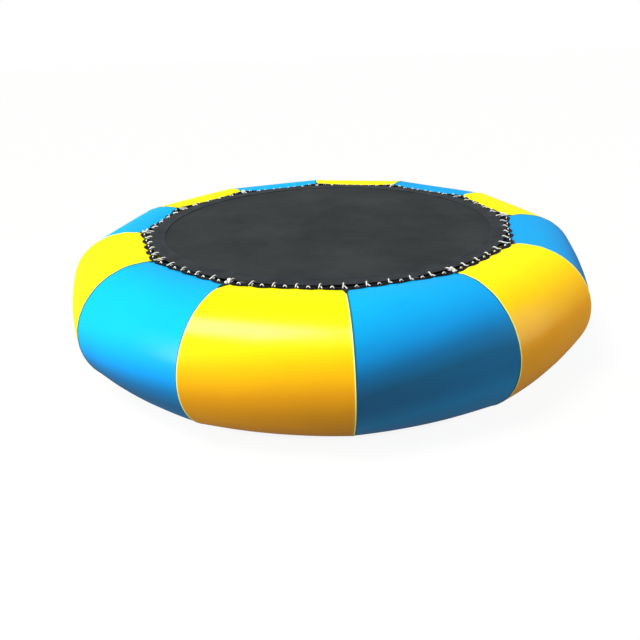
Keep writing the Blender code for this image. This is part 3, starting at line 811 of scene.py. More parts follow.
@dataclass(frozen=True)
class Tube:
    """The inflated tube: twelve straight lengths of an ellipse, fuller below, mitred at the seams."""

    panel_count: int = 12
    seam_radius: float = 1.150
    half_width: float = 0.338
    half_height: float = 0.3235
    centre_height: float = 0.3276
    bulge: float = 0.021
    bulge_angle: float = radians(-30)
    bulge_reach: float = radians(120)
    dent: float = 0.008
    dent_angle: float = radians(105)
    dent_reach: float = radians(35)
    fabric: float = 0.0009
    facets: int = 21
    facet_shares: tuple[float, ...] = (0.0, 0.3, 0.7, 1.0)
    fold_depth: float = 0.0022
    fold_reach: float = 0.055
    folds: int = 26
    fold_phase: float = 2.4
    fold_wander: float = 5.0
    fold_least: float = 0.12
    unevenness: float = 0.0016
    uneven_scales: tuple[tuple[float, float], ...] = ((3.3, 1.0), (8.5, 0.45))
    uneven_heights: tuple[float, float] = (0.02, 0.08)
    seat_reach: float = 3.0
    seat_blend: tuple[float, float] = (1.15, 2.6)

    @property
    def panel_angle(self) -> float:
        """The turn from one seam to the next."""
        return FULL_TURN / self.panel_count

    @property
    def mitre(self) -> float:
        """Half a panel's length at a distance of 1 from the ring's axis."""
        return tan(self.panel_angle / 2)

    @property
    def apothem(self) -> float:
        """Distance from the middle of the ring to the tube's centreline at mid-panel."""
        return self.seam_radius * cos(self.panel_angle / 2)

    @property
    def ground(self) -> float:
        """Height of the fabric's middle surface above the ground that it rests on."""
        return SEAT_GAP + self.fabric

    def colouring(self, panel: int) -> Colouring:
        """The colour of a panel, counted from 0."""
        return Colouring.YELLOW if panel % 2 == 0 else Colouring.BLUE

    def skin(self, panel: int) -> tuple[float, float]:
        """The (inner, outer) offsets of a panel's fabric: yellow laps over blue."""
        inner = SEAT_GAP if self.colouring(panel) is Colouring.YELLOW else -self.fabric
        return (inner, inner + self.fabric)

    def turn(self, panel: int) -> Matrix:
        """The turn about Z from the panel's own frame, whose X points out at its middle."""
        return Matrix.Rotation((panel + 0.5) * self.panel_angle, 4, "Z")

    def length(self, angle: float) -> float:
        """A panel's length from seam to seam at an angle round its section."""
        return 2 * self.mitre * (self.apothem + self.half_width * cos(angle))

    @staticmethod
    def lobe(angle: float, centre: float, reach: float) -> float:
        """A smooth bump of height 1 at centre that ends at reach on both sides."""
        away = abs(remainder(angle - centre, FULL_TURN))
        return cos(pi / 2 * away / reach) ** 2 if away < reach else 0.0

    def normal(self, angle: float) -> Vector:
        """The outward direction of the section at an angle, in the panel's XZ plane."""
        out = Vector((cos(angle) / self.half_width, 0.0, sin(angle) / self.half_height))
        return out.normalized()

    def point(self, share: float, angle: float, offset: float) -> Vector:
        """The plain skin in the panel's frame.

        Args:
            share: The share of the way from seam to seam.
            angle: The angle round the section, from the outer side over the top.
            offset: How far outside the middle surface.

        Returns:
            The point.
        """
        swell = 1 - (2 * share - 1) ** 2
        fullness = self.bulge * self.lobe(angle, self.bulge_angle, self.bulge_reach)
        fullness -= self.dent * self.lobe(angle, self.dent_angle, self.dent_reach)
        shift = self.normal(angle) * (offset + fullness * swell)
        x = self.apothem + self.half_width * cos(angle) + shift.x
        z = self.centre_height + self.half_height * sin(angle) + shift.z
        return Vector((x, x * tan((share - 0.5) * self.panel_angle), max(z, self.ground - offset)))

    def relief(self, panel: int, share: float, angle: float, world: Vector) -> float:
        """How far the fabric stands out from the plain form: folds at the seams, and unevenness.

        Args:
            panel: The panel's number.
            share: The share of the way from seam to seam.
            angle: The angle round the section.
            world: The plain point, in the ring's frame.

        Returns:
            The height along the normal.
        """
        seam = (panel + round(share)) % self.panel_count
        distance = min(share, 1 - share) * self.length(angle)
        # The inner side is the shorter one, so the fabric gathers there
        inner = ((1 - cos(angle)) / 2) ** 1.5
        wander = noise.noise(Vector((3.0 * seam, 2.2 * angle, 0.5)))
        fold = sin(self.folds * angle + self.fold_phase * seam + self.fold_wander * wander)
        fold *= exp(-((distance / self.fold_reach) ** 2)) * (self.fold_least + inner)
        uneven = sum(weight * noise.noise(world * scale) for scale, weight in self.uneven_scales)
        return smoothstep(world.z, *self.uneven_heights) * (self.fold_depth * fold + self.unevenness * uneven)

    def world_point(self, panel: int, share: float, angle: float, offset: float) -> Vector:
        """The uneven skin in the ring's frame, flat at each seat and on the ground.

        Args:
            panel: The panel's number.
            share: The share of the way from seam to seam.
            angle: The angle round the section.
            offset: How far outside the middle surface.

        Returns:
            The point.
        """
        turn = self.turn(panel)
        rise = self.relief(panel, share, angle, turn @ self.point(share, angle, 0.0))
        point = turn @ self.point(share, angle, offset) + turn.to_3x3() @ self.normal(angle) * rise
        point.z = max(point.z, self.ground - offset)
        for seat in SEATS:
            if seat.panel == panel:
                point = self.flattened(point, seat, offset - self.skin(panel)[1])
        return point

    def flattened(self, point: Vector, seat: Seat, level: float) -> Vector:
        """Moves a point near a seat to the seat's plane.

        Args:
            point: A point of the skin, in the ring's frame.
            seat: The seat.
            level: The point's height above the seat's plane once flat.

        Returns:
            The moved point.
        """
        frame = self.seat_frame(seat.panel, seat.angle)
        local = frame.inverted() @ point
        if abs(local.z) > seat.radius * self.seat_reach:
            return point
        start, end = [seat.radius * share for share in self.seat_blend]
        local.z += (level - local.z) * (1 - smoothstep(local.xy.length, start, end))
        return frame @ local

    def faceted_point(self, share: float, angle: float, offset: float) -> Vector:
        """The point of the solid's flat facets.

        Args:
            share: The share of the way from seam to seam.
            angle: The angle of one of the facets' edges.
            offset: How far outside the middle surface.

        Returns:
            The point, in the panel's frame.
        """
        pairs = zip(self.facet_shares, self.facet_shares[1:])
        start, end = next((pair for pair in pairs if share <= pair[1]), self.facet_shares[-2:])
        mix = (share - start) / (end - start)
        return self.point(start, angle, offset).lerp(self.point(end, angle, offset), mix)

    def seat_frame(self, panel: int, angle: float) -> Matrix:
        """A frame in the middle of the flat facet nearest to angle, with Z along its normal.

        Args:
            panel: The panel's number.
            angle: The angle round the section.

        Returns:
            The frame, in the ring's frame.
        """
        step = FULL_TURN / self.facets
        middles = [pi / 2 + step * (index + 0.5) for index in range(self.facets)]
        middle = min(middles, key=lambda m: abs(remainder(m - angle, FULL_TURN)))
        outer = self.skin(panel)[1]
        low, high = [self.faceted_point(0.5, middle + side * step / 2, outer) for side in (-1, 1)]
        along = Vector((0, 1, 0))
        normal = along.cross(high - low).normalized()
        if normal.dot((low + high) / 2 - Vector((self.apothem, 0, self.centre_height))) < 0:
            normal.negate()
        frame = Matrix((along.cross(normal), along, normal)).transposed().to_4x4()
        frame.translation = (low + high) / 2
        return self.turn(panel) @ frame


VALVE_PANEL = 2
VALVE_ANGLE = radians(25)
ANCHOR_PANELS = (1, 4, 7, 10)
ANCHOR_ANGLE = radians(212.4)
PATCH_RADIUS = 0.038
FLANGE_RADIUS = 0.039
SEATS = [
    Seat(VALVE_PANEL, VALVE_ANGLE, FLANGE_RADIUS),
    *[Seat(panel, ANCHOR_ANGLE, PATCH_RADIUS) for panel in ANCHOR_PANELS],
]
TUBE = Tube()


@dataclass(frozen=True)
class Panels:
    """The twelve welded panels of coated fabric."""

    tube: Tube = TUBE
    around: int = 144
    # Shares along half a panel, closer together near the seam, where the folds are
    near_shares: tuple[float, ...] = (
        0.0, 0.006, 0.012, 0.02, 0.035, 0.055, 0.08, 0.11, 0.145, 0.185, 0.23, 0.28, 0.335, 0.39, 0.445
    )
    lap: float = 0.030
    lip: float = 0.0008
    lip_reach: float = 0.007
    valve_hole: float = 0.0253
    hole_sides: int = 48
    hole_reach: float = 0.02

    def columns(self, panel: int) -> list[tuple[int, float]]:
        """Where the rows of points lie along a panel and its laps.

        Args:
            panel: The panel's number.

        Returns:
            The panel whose frame holds each row, and the row's share along that one.
        """
        shares = [*self.near_shares, 0.5, *[1 - share for share in reversed(self.near_shares)]]
        own = [(panel, share) for share in shares]
        if self.tube.colouring(panel) is Colouring.YELLOW:
            return own
        reach = self.lap / (2 * self.tube.seam_radius * sin(self.tube.panel_angle / 2))
        before = [(panel - 1, 1 - reach), (panel - 1, 1 - reach / 2)]
        return [*before, *own, (panel + 1, reach / 2), (panel + 1, reach)]

    def row(self, panel: int, holder: int, share: float, outer: bool) -> tuple[list[Vector], list[Mark]]:
        """One row of points round the tube.

        Args:
            panel: The panel that the points belong to.
            holder: The panel whose frame they lie in.
            share: The share of the way along the holder.
            outer: Whether they lie on the fabric's outer face.

        Returns:
            The points and their marks.
        """
        tube = self.tube
        lipped = outer and tube.colouring(panel) is Colouring.YELLOW
        points: list[Vector] = []
        marks: list[Mark] = []
        for index in range(self.around):
            angle = FULL_TURN * (index + 0.5) / self.around
            length = tube.length(angle)
            edge = min(share, 1 - share) * length if holder == panel else 0.0
            offset = tube.skin(panel)[int(outer)]
            if lipped:
                offset += self.lip * exp(-((edge / self.lip_reach) ** 2))
            points.append(tube.world_point(holder % tube.panel_count, share, angle, offset))
            marks.append((MM * share * length, MM * angle * tube.half_height, MM * edge))
        return points, marks

    def build(self) -> None:
        """Builds the panels, each an open-ended shell, and cuts the valve's hole."""
        for panel in range(self.tube.panel_count):
            colour = self.tube.colouring(panel)
            finish = FABRIC_FINISH[colour]
            name = f"panel_{panel + 1:02d}_{colour.value}"
            columns = self.columns(panel)
            rows = [self.row(panel, *column, outer=True) for column in columns]
            rows += [self.row(panel, *column, outer=False) for column in reversed(columns)]
            points, marks = zip(*rows)
            piece = MeshBuilder().add_grid(points, marks, closed_rows=True).object(f"fabric_{name}", finish)
            if panel == VALVE_PANEL:
                outline = plug(self.valve_hole, self.hole_reach)
                place = self.tube.seat_frame(VALVE_PANEL, VALVE_ANGLE)
                cutter = MeshBuilder().add_turned(outline, self.hole_sides, place)
                cut_out(piece, cutter.object("valve_hole", finish))
            place_piece(piece, Body.RING, name)


# Lacing: strips, skirt, eyelets and cords


@dataclass(frozen=True)
class Lacing:
    """Sizes that the strips, the skirt and the cords share."""

    tube: Tube = TUBE
    skirt_outer: float = 1.022
    skirt_width: float = 0.088
    skirt_bottom: float = 0.6466
    skirt_thickness: float = 0.002
    eyelets_per_panel: int = 5
    eyelet_setback: float = 0.013
    loop_inset: float = 0.079
    loop_hole: float = 0.0085
    loop_strap: float = 0.0015
    loop_length: float = 0.090
    strip_gap: float = 0.0008
    strip_thickness: float = 0.002
    cord_radius: float = 0.003
    cord_lift: float = 0.0005

    @property
    def skirt_inner(self) -> float:
        """Radius of the skirt's inner edge."""
        return self.skirt_outer - self.skirt_width

    @property
    def skirt_top(self) -> float:
        """Height of the skirt's upper face."""
        return self.skirt_bottom + self.skirt_thickness

    @property
    def eyelet_circle(self) -> float:
        """Radius of the circle that the eyelets lie on."""
        return self.skirt_outer - self.eyelet_setback

    @property
    def eyelet_count(self) -> int:
        """How many eyelets there are."""
        return self.eyelets_per_panel * self.tube.panel_count

    @property
    def loop_line(self) -> float:
        """Distance of the webbing loops from the middle of the ring, in the panel's frame."""
        return self.tube.apothem - self.loop_inset

    @property
    def loop_places(self) -> list[float]:
        """Distances along the panel of its webbing loops, midway between eyelets."""
        middle = (self.eyelets_per_panel - 1) / 2
        steps = [index - middle for index in range(self.eyelets_per_panel)]
        return [self.loop_line * tan(step * FULL_TURN / self.eyelet_count) for step in steps]

    def crown_height(self, x: float, y: float) -> float:
        """Height of the solid's facets near the crown.

        Args:
            x: Distance out, in the panel's frame.
            y: Distance along the panel.

        Returns:
            The height of the middle surface there.
        """
        share = atan2(y, x) / self.tube.panel_angle + 0.5
        step = FULL_TURN / self.tube.facets
        edges = [self.tube.faceted_point(share, pi / 2 + step * index, 0.0) for index in (-1, 0, 1, 2)]
        for first, second in zip(edges[1:], edges):
            if first.x <= x <= second.x:
                return first.lerp(second, (x - first.x) / (second.x - first.x)).z
        return edges[1].z

    def cord_level(self, panel: int, y: float) -> float:
        """Height of the cord's middle in the loops.

        Args:
            panel: The panel's number.
            y: Distance along the panel.

        Returns:
            The height, half a loop's hole above the strip of the solid.
        """
        strip_top = self.tube.skin(panel)[1] + self.strip_gap + self.strip_thickness
        return self.crown_height(self.loop_line, y) + strip_top + self.loop_hole / 2


LACING = Lacing()


@dataclass(frozen=True)
class LacingStrips:
    """Black strips welded inside the crown, each with five webbing tunnels for the cord."""

    lacing: Lacing = LACING
    columns: int = 96
    inner_reach: float = 0.030
    outer_reach: float = 0.0135
    thickness: float = 0.0016
    scallop: float = 0.0085
    scallop_width: float = 0.037
    scallop_wanders: tuple[tuple[float, float], ...] = ((17.0, 1.1), (60.0, 0.4))
    end_margin: float = 0.003
    tunnel_gap: float = 0.020
    tunnel_end: float = 0.55
    slack: float = 0.12
    slack_pitch: float = 55.0
    tail: float = 0.007
    tail_wander: float = 1.2
    tail_pitch: float = 38.0
    foot: float = 0.002
    arch_steps: int = 8
    patch_start: float = 1.004
    patch_end: float = 1.098
    patch_half_width: float = 0.034
    patch_tip: float = 0.0015
    patch_taper: float = 0.9
    patch_steps: int = 14
    patch_edge: float = 0.0004
    patch_crown: float = 0.0012
    patch_under: float = 0.0002
    long_patches: tuple[int, ...] = (8, 9)
    long_patch_share: float = 1.5
    wander_seed: float = 7.3

    def surface(self, panel: int, x: float, y: float, offset: float) -> Vector:
        """A point above the panel's uneven skin near the crown.

        Args:
            panel: The panel's number.
            x: Distance out, in the panel's frame.
            y: Distance along the panel.
            offset: Height above the skin.

        Returns:
            The point, in the ring's frame.
        """
        tube = self.lacing.tube
        share = min(1.0, max(0.0, atan2(y, x) / tube.panel_angle + 0.5))
        angle = acos(max(-1.0, min(1.0, (x - tube.apothem) / tube.half_width)))
        return tube.world_point(panel, share, angle, tube.skin(panel)[1] + offset)

    def wander(self, panel: int, y: float, pitch: float) -> float:
        """A wandering value between about -0.5 and 0.5 along a panel."""
        return noise.noise(Vector((self.wander_seed * panel, pitch * y, 0.0)))

    def band(self, panel: int) -> MeshBuilder:
        """The strip itself, scalloped along its outer edge.

        Args:
            panel: The panel's number.

        Returns:
            A builder that holds it.
        """
        lacing = self.lacing
        mitre = lacing.tube.mitre
        inner = lacing.loop_line - self.inner_reach
        rows: Rows = []
        marks: Marks = []
        for index in range(self.columns + 1):
            share = 2 * index / self.columns - 1
            y = share * (lacing.loop_line * mitre - self.end_margin)
            wave = max(exp(-(((y - place) / self.scallop_width) ** 4)) for place in lacing.loop_places)
            uneven = sum(weight * self.wander(panel, y, pitch) for pitch, weight in self.scallop_wanders)
            outer = lacing.loop_line + self.outer_reach + self.scallop * (2 * wave - 1 + uneven)
            places = []
            for part in BAND_SHARES:
                x = inner + (outer - inner) * part
                places.append((x, share * (x * mitre - self.end_margin)))
            levels = [SEAT_GAP + self.thickness * part for part in BAND_THINNED]
            top = [self.surface(panel, *place, level) for place, level in zip(places, levels)]
            bottom = [self.surface(panel, *place, SEAT_GAP / 2) for place in reversed(places)]
            rows.append(top + bottom)
            line = [(MM * y, MM * x, FAR_MM) for x, y in places]
            marks.append(line + line[::-1])
        return MeshBuilder().add_grid(rows, marks)

    def tunnel_line(self, panel: int, y: float) -> list[Vector]:
        """The middle of a tunnel's webbing: a tail outside, an arch over the cord and a short foot.

        Args:
            panel: The panel's number.
            y: Distance along the panel.

        Returns:
            Points of the line, in the panel's frame.
        """
        lacing = self.lacing
        inverse = lacing.tube.turn(panel).inverted()
        reach = lacing.loop_hole / 2 + lacing.loop_strap / 2
        tail = self.tail * (1 + self.tail_wander * self.wander(panel, y, self.tail_pitch))
        rise = reach * (1 + self.slack * self.wander(panel, y, self.slack_pitch))
        centre = lacing.cord_level(panel, y)

        def flat(x: float) -> Vector:
            """A point of the webbing where it lies on the strip."""
            skin = inverse @ self.surface(panel, x, y, SEAT_GAP + self.thickness)
            return Vector((x, y, skin.z + lacing.loop_strap / 2))

        line = [flat(lacing.loop_line + reach + tail * share) for share in (1.0, 0.75, 0.5, 0.25)]
        for step in range(self.arch_steps + 1):
            turn = pi * step / self.arch_steps
            line.append(Vector((lacing.loop_line + reach * cos(turn), y, centre + rise * sin(turn))))
        return line + [flat(lacing.loop_line - reach - self.foot * share) for share in (0.5, 1.0)]

    def tunnels(self, panel: int) -> MeshBuilder:
        """The webbing tunnels of one panel, two for each loop with the cord's slack between them.

        Args:
            panel: The panel's number.

        Returns:
            A builder that holds them.
        """
        lacing = self.lacing
        builder = MeshBuilder()
        for place in lacing.loop_places:
            for side in (-1, 1):
                ends = (place + side * self.tunnel_gap / 2, place + side * lacing.loop_length / 2)
                start, end = min(ends), max(ends)
                rows: Rows = []
                marks: Marks = []
                for share in BAND_SHARES:
                    y = start + (end - start) * share
                    line = self.tunnel_line(panel, y)
                    half = lacing.loop_strap / 2 * (self.tunnel_end if share in (0.0, 1.0) else 1.0)
                    rows.append(strap_row(line, half, lacing.tube.turn(panel)))
                    row_marks = [(3.0 * index, MM * y, FAR_MM) for index in range(len(line))]
                    marks.append(row_marks + row_marks[::-1])
                builder.add_grid(rows, marks)
        return builder

    def add_patch(self, builder: MeshBuilder, seam: int) -> None:
        """Adds the black pointed patch that covers a seam beside the skirt.

        Args:
            builder: The builder that gets the patch.
            seam: The seam's number.
        """
        tube = self.lacing.tube
        rows: Rows = []
        marks: Marks = []
        size = self.long_patch_share if seam in self.long_patches else 1.0
        for step in range(self.patch_steps + 1):
            share = step / self.patch_steps
            half = self.patch_half_width * (1 - share) ** self.patch_taper + self.patch_tip
            reach = (self.patch_end - self.patch_start) * size * share
            x = (self.patch_start + reach) * cos(tube.panel_angle / 2)
            top: list[Vector] = []
            under: list[Vector] = []
            for side in (-1.0, -0.5, 0.0, 0.5, 1.0):
                panel = (seam - 1) % tube.panel_count if side < 0 else seam % tube.panel_count
                y = x * tube.mitre - half * abs(side) if side < 0 else half * side - x * tube.mitre
                lift = self.patch_edge if abs(side) == 1.0 else self.patch_crown
                base = tube.skin(0)[1] - tube.skin(panel)[1] + SEAT_GAP + self.thickness
                top.append(self.surface(panel, x, y, base + lift))
                under.append(self.surface(panel, x, y, base - self.patch_under))
            rows.append(top + under[::-1])
            marks.append([(6.0 * step, 8.0 * index, FAR_MM) for index in range(len(rows[-1]))])
        builder.add_grid(rows, marks)

    def build(self) -> None:
        """Builds the strips, their tunnels and the pointed patches at the seams."""
        points = MeshBuilder()
        for panel in range(self.lacing.tube.panel_count):
            number = f"{panel + 1:02d}"
            strip = self.band(panel).object(f"crown_strip_{number}", STRAP_FINISH)
            place_piece(strip, Body.RING, f"lacing_strip_{number}")
            tunnels = self.tunnels(panel).object(f"webbing_tunnels_{number}", STRAP_FINISH)
            place_piece(tunnels, Body.RING)
            self.add_patch(points, panel)
        place_piece(points.object("seam_patches", STRAP_FINISH), Body.RING)


@dataclass(frozen=True)
class Skirt:
    """The coated band stitched round the mat, with a black-plated eyelet in each hole."""

    lacing: Lacing = LACING
    steps_per_eyelet: int = 8
    shares: tuple[float, ...] = (0.0, 0.02, 0.1, 0.125, 0.3, 0.5, 0.7, 0.875, 0.98, 1.0)
    hem_width: float = 0.010
    hem_rise: float = 0.0008
    edge_drop: float = 0.0007
    edge_wave: float = 0.0022
    ripple: float = 0.0004
    ripple_scale: float = 14.0
    hole_radius: float = 0.0065
    hole_sides: int = 20
    hole_reach: float = 0.01
    barrel_gap: float = 0.0003
    barrel_wall: float = 0.0008
    washer: float = 0.0010
    face_gap: float = 0.0002
    flange_radius: float = 0.0102
    flange_height: float = 0.0011
    stitch_length: float = 0.0042
    stitch_pitch: float = 0.0062
    stitch_radius: float = 0.0006
    stitch_rows: tuple[float, ...] = (0.938, 0.952, 0.995)

    def height(self, radius: float, angle: float) -> float:
        """Height of the skirt's upper face, which is thicker at its inner hem.

        Args:
            radius: Distance from the middle of the ring.
            angle: The angle round the ring.

        Returns:
            The height.
        """
        lacing = self.lacing
        away = min(abs(radius - edge) for edge in (lacing.skirt_inner, lacing.skirt_outer))
        hem = 1 - smoothstep(away, self.hem_width * 0.8, self.hem_width * 1.2)
        ripple = self.ripple * noise.noise(ring_point(radius * self.ripple_scale, angle, 0.0))
        return lacing.skirt_top + self.hem_rise * hem * (radius < lacing.eyelet_circle) + ripple

    def places(self) -> list[Matrix]:
        """The frame of each eyelet, on the skirt's upper face."""
        result = []
        for angle in turns(self.lacing.eyelet_count):
            centre = ring_point(self.lacing.eyelet_circle, angle, self.lacing.skirt_top)
            result.append(Matrix.Translation(centre) @ Matrix.Rotation(angle, 4, "Z"))
        return result

    def band(self) -> Object:
        """Builds the band with its sixty holes."""
        lacing = self.lacing
        inner = lacing.skirt_inner
        rows: Rows = []
        cloth: Marks = []
        for angle in turns(lacing.eyelet_count * self.steps_per_eyelet):
            pulled = 0.5 + 0.5 * cos(lacing.eyelet_count * angle)
            edge = lacing.skirt_outer - self.edge_wave * (1 - pulled)
            radii = [inner + (edge - inner) * share for share in self.shares]
            drops = [self.edge_drop * (share in (0.0, 1.0)) for share in self.shares]
            top = [ring_point(r, angle, self.height(r, angle) - drop) for r, drop in zip(radii, drops)]
            bottom = [ring_point(radius, angle, lacing.skirt_bottom) for radius in reversed(radii)]
            rows.append(top + bottom)
            marks = [(MM * angle, MM * radius, FAR_MM) for radius in radii]
            cloth.append(marks + marks[::-1])
        band = MeshBuilder().add_grid(rows, cloth, closed_rows=True).object("mat_band", SKIRT_FINISH)
        holes = MeshBuilder()
        for place in self.places():
            holes.add_turned(plug(self.hole_radius, self.hole_reach), self.hole_sides, place)
        cut_out(band, holes.object("holes", SKIRT_FINISH))
        return band

    def eyelets(self) -> Object:
        """Builds the eyelets: a rolled flange above, a barrel, and a washer below."""
        barrel = self.hole_radius - self.barrel_gap
        bore = barrel - self.barrel_wall
        rim, top = self.flange_radius, self.flange_height
        under = -self.lacing.skirt_thickness - self.face_gap
        low = -self.lacing.skirt_thickness - self.washer
        flange = [(bore, low), (bore, top * 0.9), (rim * 0.78, top), (rim, top * 0.35), (rim, self.face_gap)]
        below = [(barrel, self.face_gap), (barrel, under), (rim * 0.95, under), (rim * 0.95, low)]
        outline = rounded(flange + below, 0.0006, 3)
        builder = MeshBuilder()
        for place in self.places():
            builder.add_turned(outline, 28, place)
        return builder.object("eyelets", EYELET_FINISH)

    def stitches(self) -> Object:
        """Builds the rows of stitches round the band."""
        builder = MeshBuilder()
        for radius in self.stitch_rows:
            half = self.stitch_length / 2 / radius
            for angle in turns(round(FULL_TURN * radius / self.stitch_pitch)):
                level = self.height(radius, angle) + self.stitch_radius * 0.3
                sunk = level - self.stitch_radius * 1.2
                shape = ((-1.0, sunk), (-0.6, level), (0.6, level), (1.0, sunk))
                line = [ring_point(radius, angle + half * share, height) for share, height in shape]
                builder.add_tube(line, self.stitch_radius, 5)
        return builder.object("band_stitches", THREAD_FINISH)

    def build(self) -> None:
        """Builds the band, its eyelets and its stitches."""
        place_piece(self.band(), Body.RING, "mat_skirt")
        place_piece(self.eyelets(), Body.RING)
        place_piece(self.stitches(), Body.RING)


@dataclass(frozen=True)
class JumpMat:
    """The woven mat, in twelve sectors."""

    lacing: Lacing = LACING
    lap: float = 0.026
    thickness: float = 0.0015
    sectors: int = 12
    steps: int = 12
    rings: int = 56
    rim_start: float = 0.927
    bed_radius: float = 0.30
    sag: float = 0.004
    sag_start: float = 0.2
    sag_margin: float = 0.03
    seam_x: float = -0.045
    seam_rise: float = 0.0006
    seam_half_width: float = 0.009
    seam_margin: float = 0.01
    ripple: float = 0.0007
    ripple_scales: tuple[float, float] = (2.1, 5.0)
    ripple_seed: float = 1.7

    @property
    def radius(self) -> float:
        """Radius of the mat, under the skirt."""
        return self.lacing.skirt_inner + self.lap

    def point(self, ring: int, step: float) -> Vector:
        """A point of the mat's upper face: a slight sag, and the lapped seam of its two widths of cloth.

        Args:
            ring: The number of the circle that it lies on.
            step: How many steps round the mat it lies.

        Returns:
            The point.
        """
        inner = self.lacing.skirt_inner
        reach = self.radius * ring / self.rings
        point = ring_point(reach, step / self.steps * FULL_TURN / self.sectors, 0.0)
        sag = 1 - smoothstep(reach, self.sag_start, inner - self.sag_margin)
        away = abs(point.x - self.seam_x)
        seam = 1 - smoothstep(away, self.seam_half_width * 0.8, self.seam_half_width * 1.2)
        across, along = self.ripple_scales
        ripple = self.ripple * noise.noise(Vector((point.x * across, point.y * along, self.ripple_seed)))
        point.z = self.lacing.skirt_bottom - SEAT_GAP - self.sag * sag
        if reach < inner - self.seam_margin:
            point.z += seam * self.seam_rise + ripple * sag
        return point

    def sector(self, index: int) -> Object:
        """Builds one sector.

        Args:
            index: The sector's number.

        Returns:
            The sector.
        """
        count = self.steps + 1
        start = index * self.steps
        places = [(ring, start + step) for ring in range(1, self.rings + 1) for step in range(count)]
        upper = [self.point(ring, step) for ring, step in [(0, start), *places]]
        down = Vector((0.0, 0.0, -self.thickness))
        verts = [*upper, *[point + down for point in upper]]
        faces: list[tuple[int, ...]] = []

        def edge(start: tuple[int, int], end: tuple[int, int], low: bool) -> list[int]:
            """The numbers of two (ring, step) points in the upper or the lower layer."""
            numbers = [1 + (ring - 1) * count + step if ring else 0 for ring, step in (start, end)]
            return [number + (len(upper) if low else 0) for number in numbers]

        for ring in range(self.rings):
            for step in range(self.steps):
                for low in (False, True):
                    corners = edge((ring, step), (ring + 1, step), low)
                    corners += edge((ring + 1, step + 1), (ring, step + 1), low)
                    face = tuple(dict.fromkeys(corners))
                    faces.append(face[::-1] if low else face)
        rims = [((ring, step), (ring + 1, step)) for ring in range(self.rings) for step in (0, self.steps)]
        rims += [((self.rings, step), (self.rings, step + 1)) for step in range(self.steps)]
        faces += [(*edge(near, far, False), *edge(far, near, True)) for near, far in rims]
        return outward(mesh_object(f"mat_sector_{index + 1:02d}", verts, faces, MAT_FINISH.material()))

    def build(self) -> None:
        """Builds the sectors, and hides the solid mat that they stand for."""
        for index in range(self.sectors):
            piece = self.sector(index)
            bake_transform(piece)
            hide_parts("jump_mat")
            log.info("%s: %d faces", piece.name, len(piece.data.polygons))


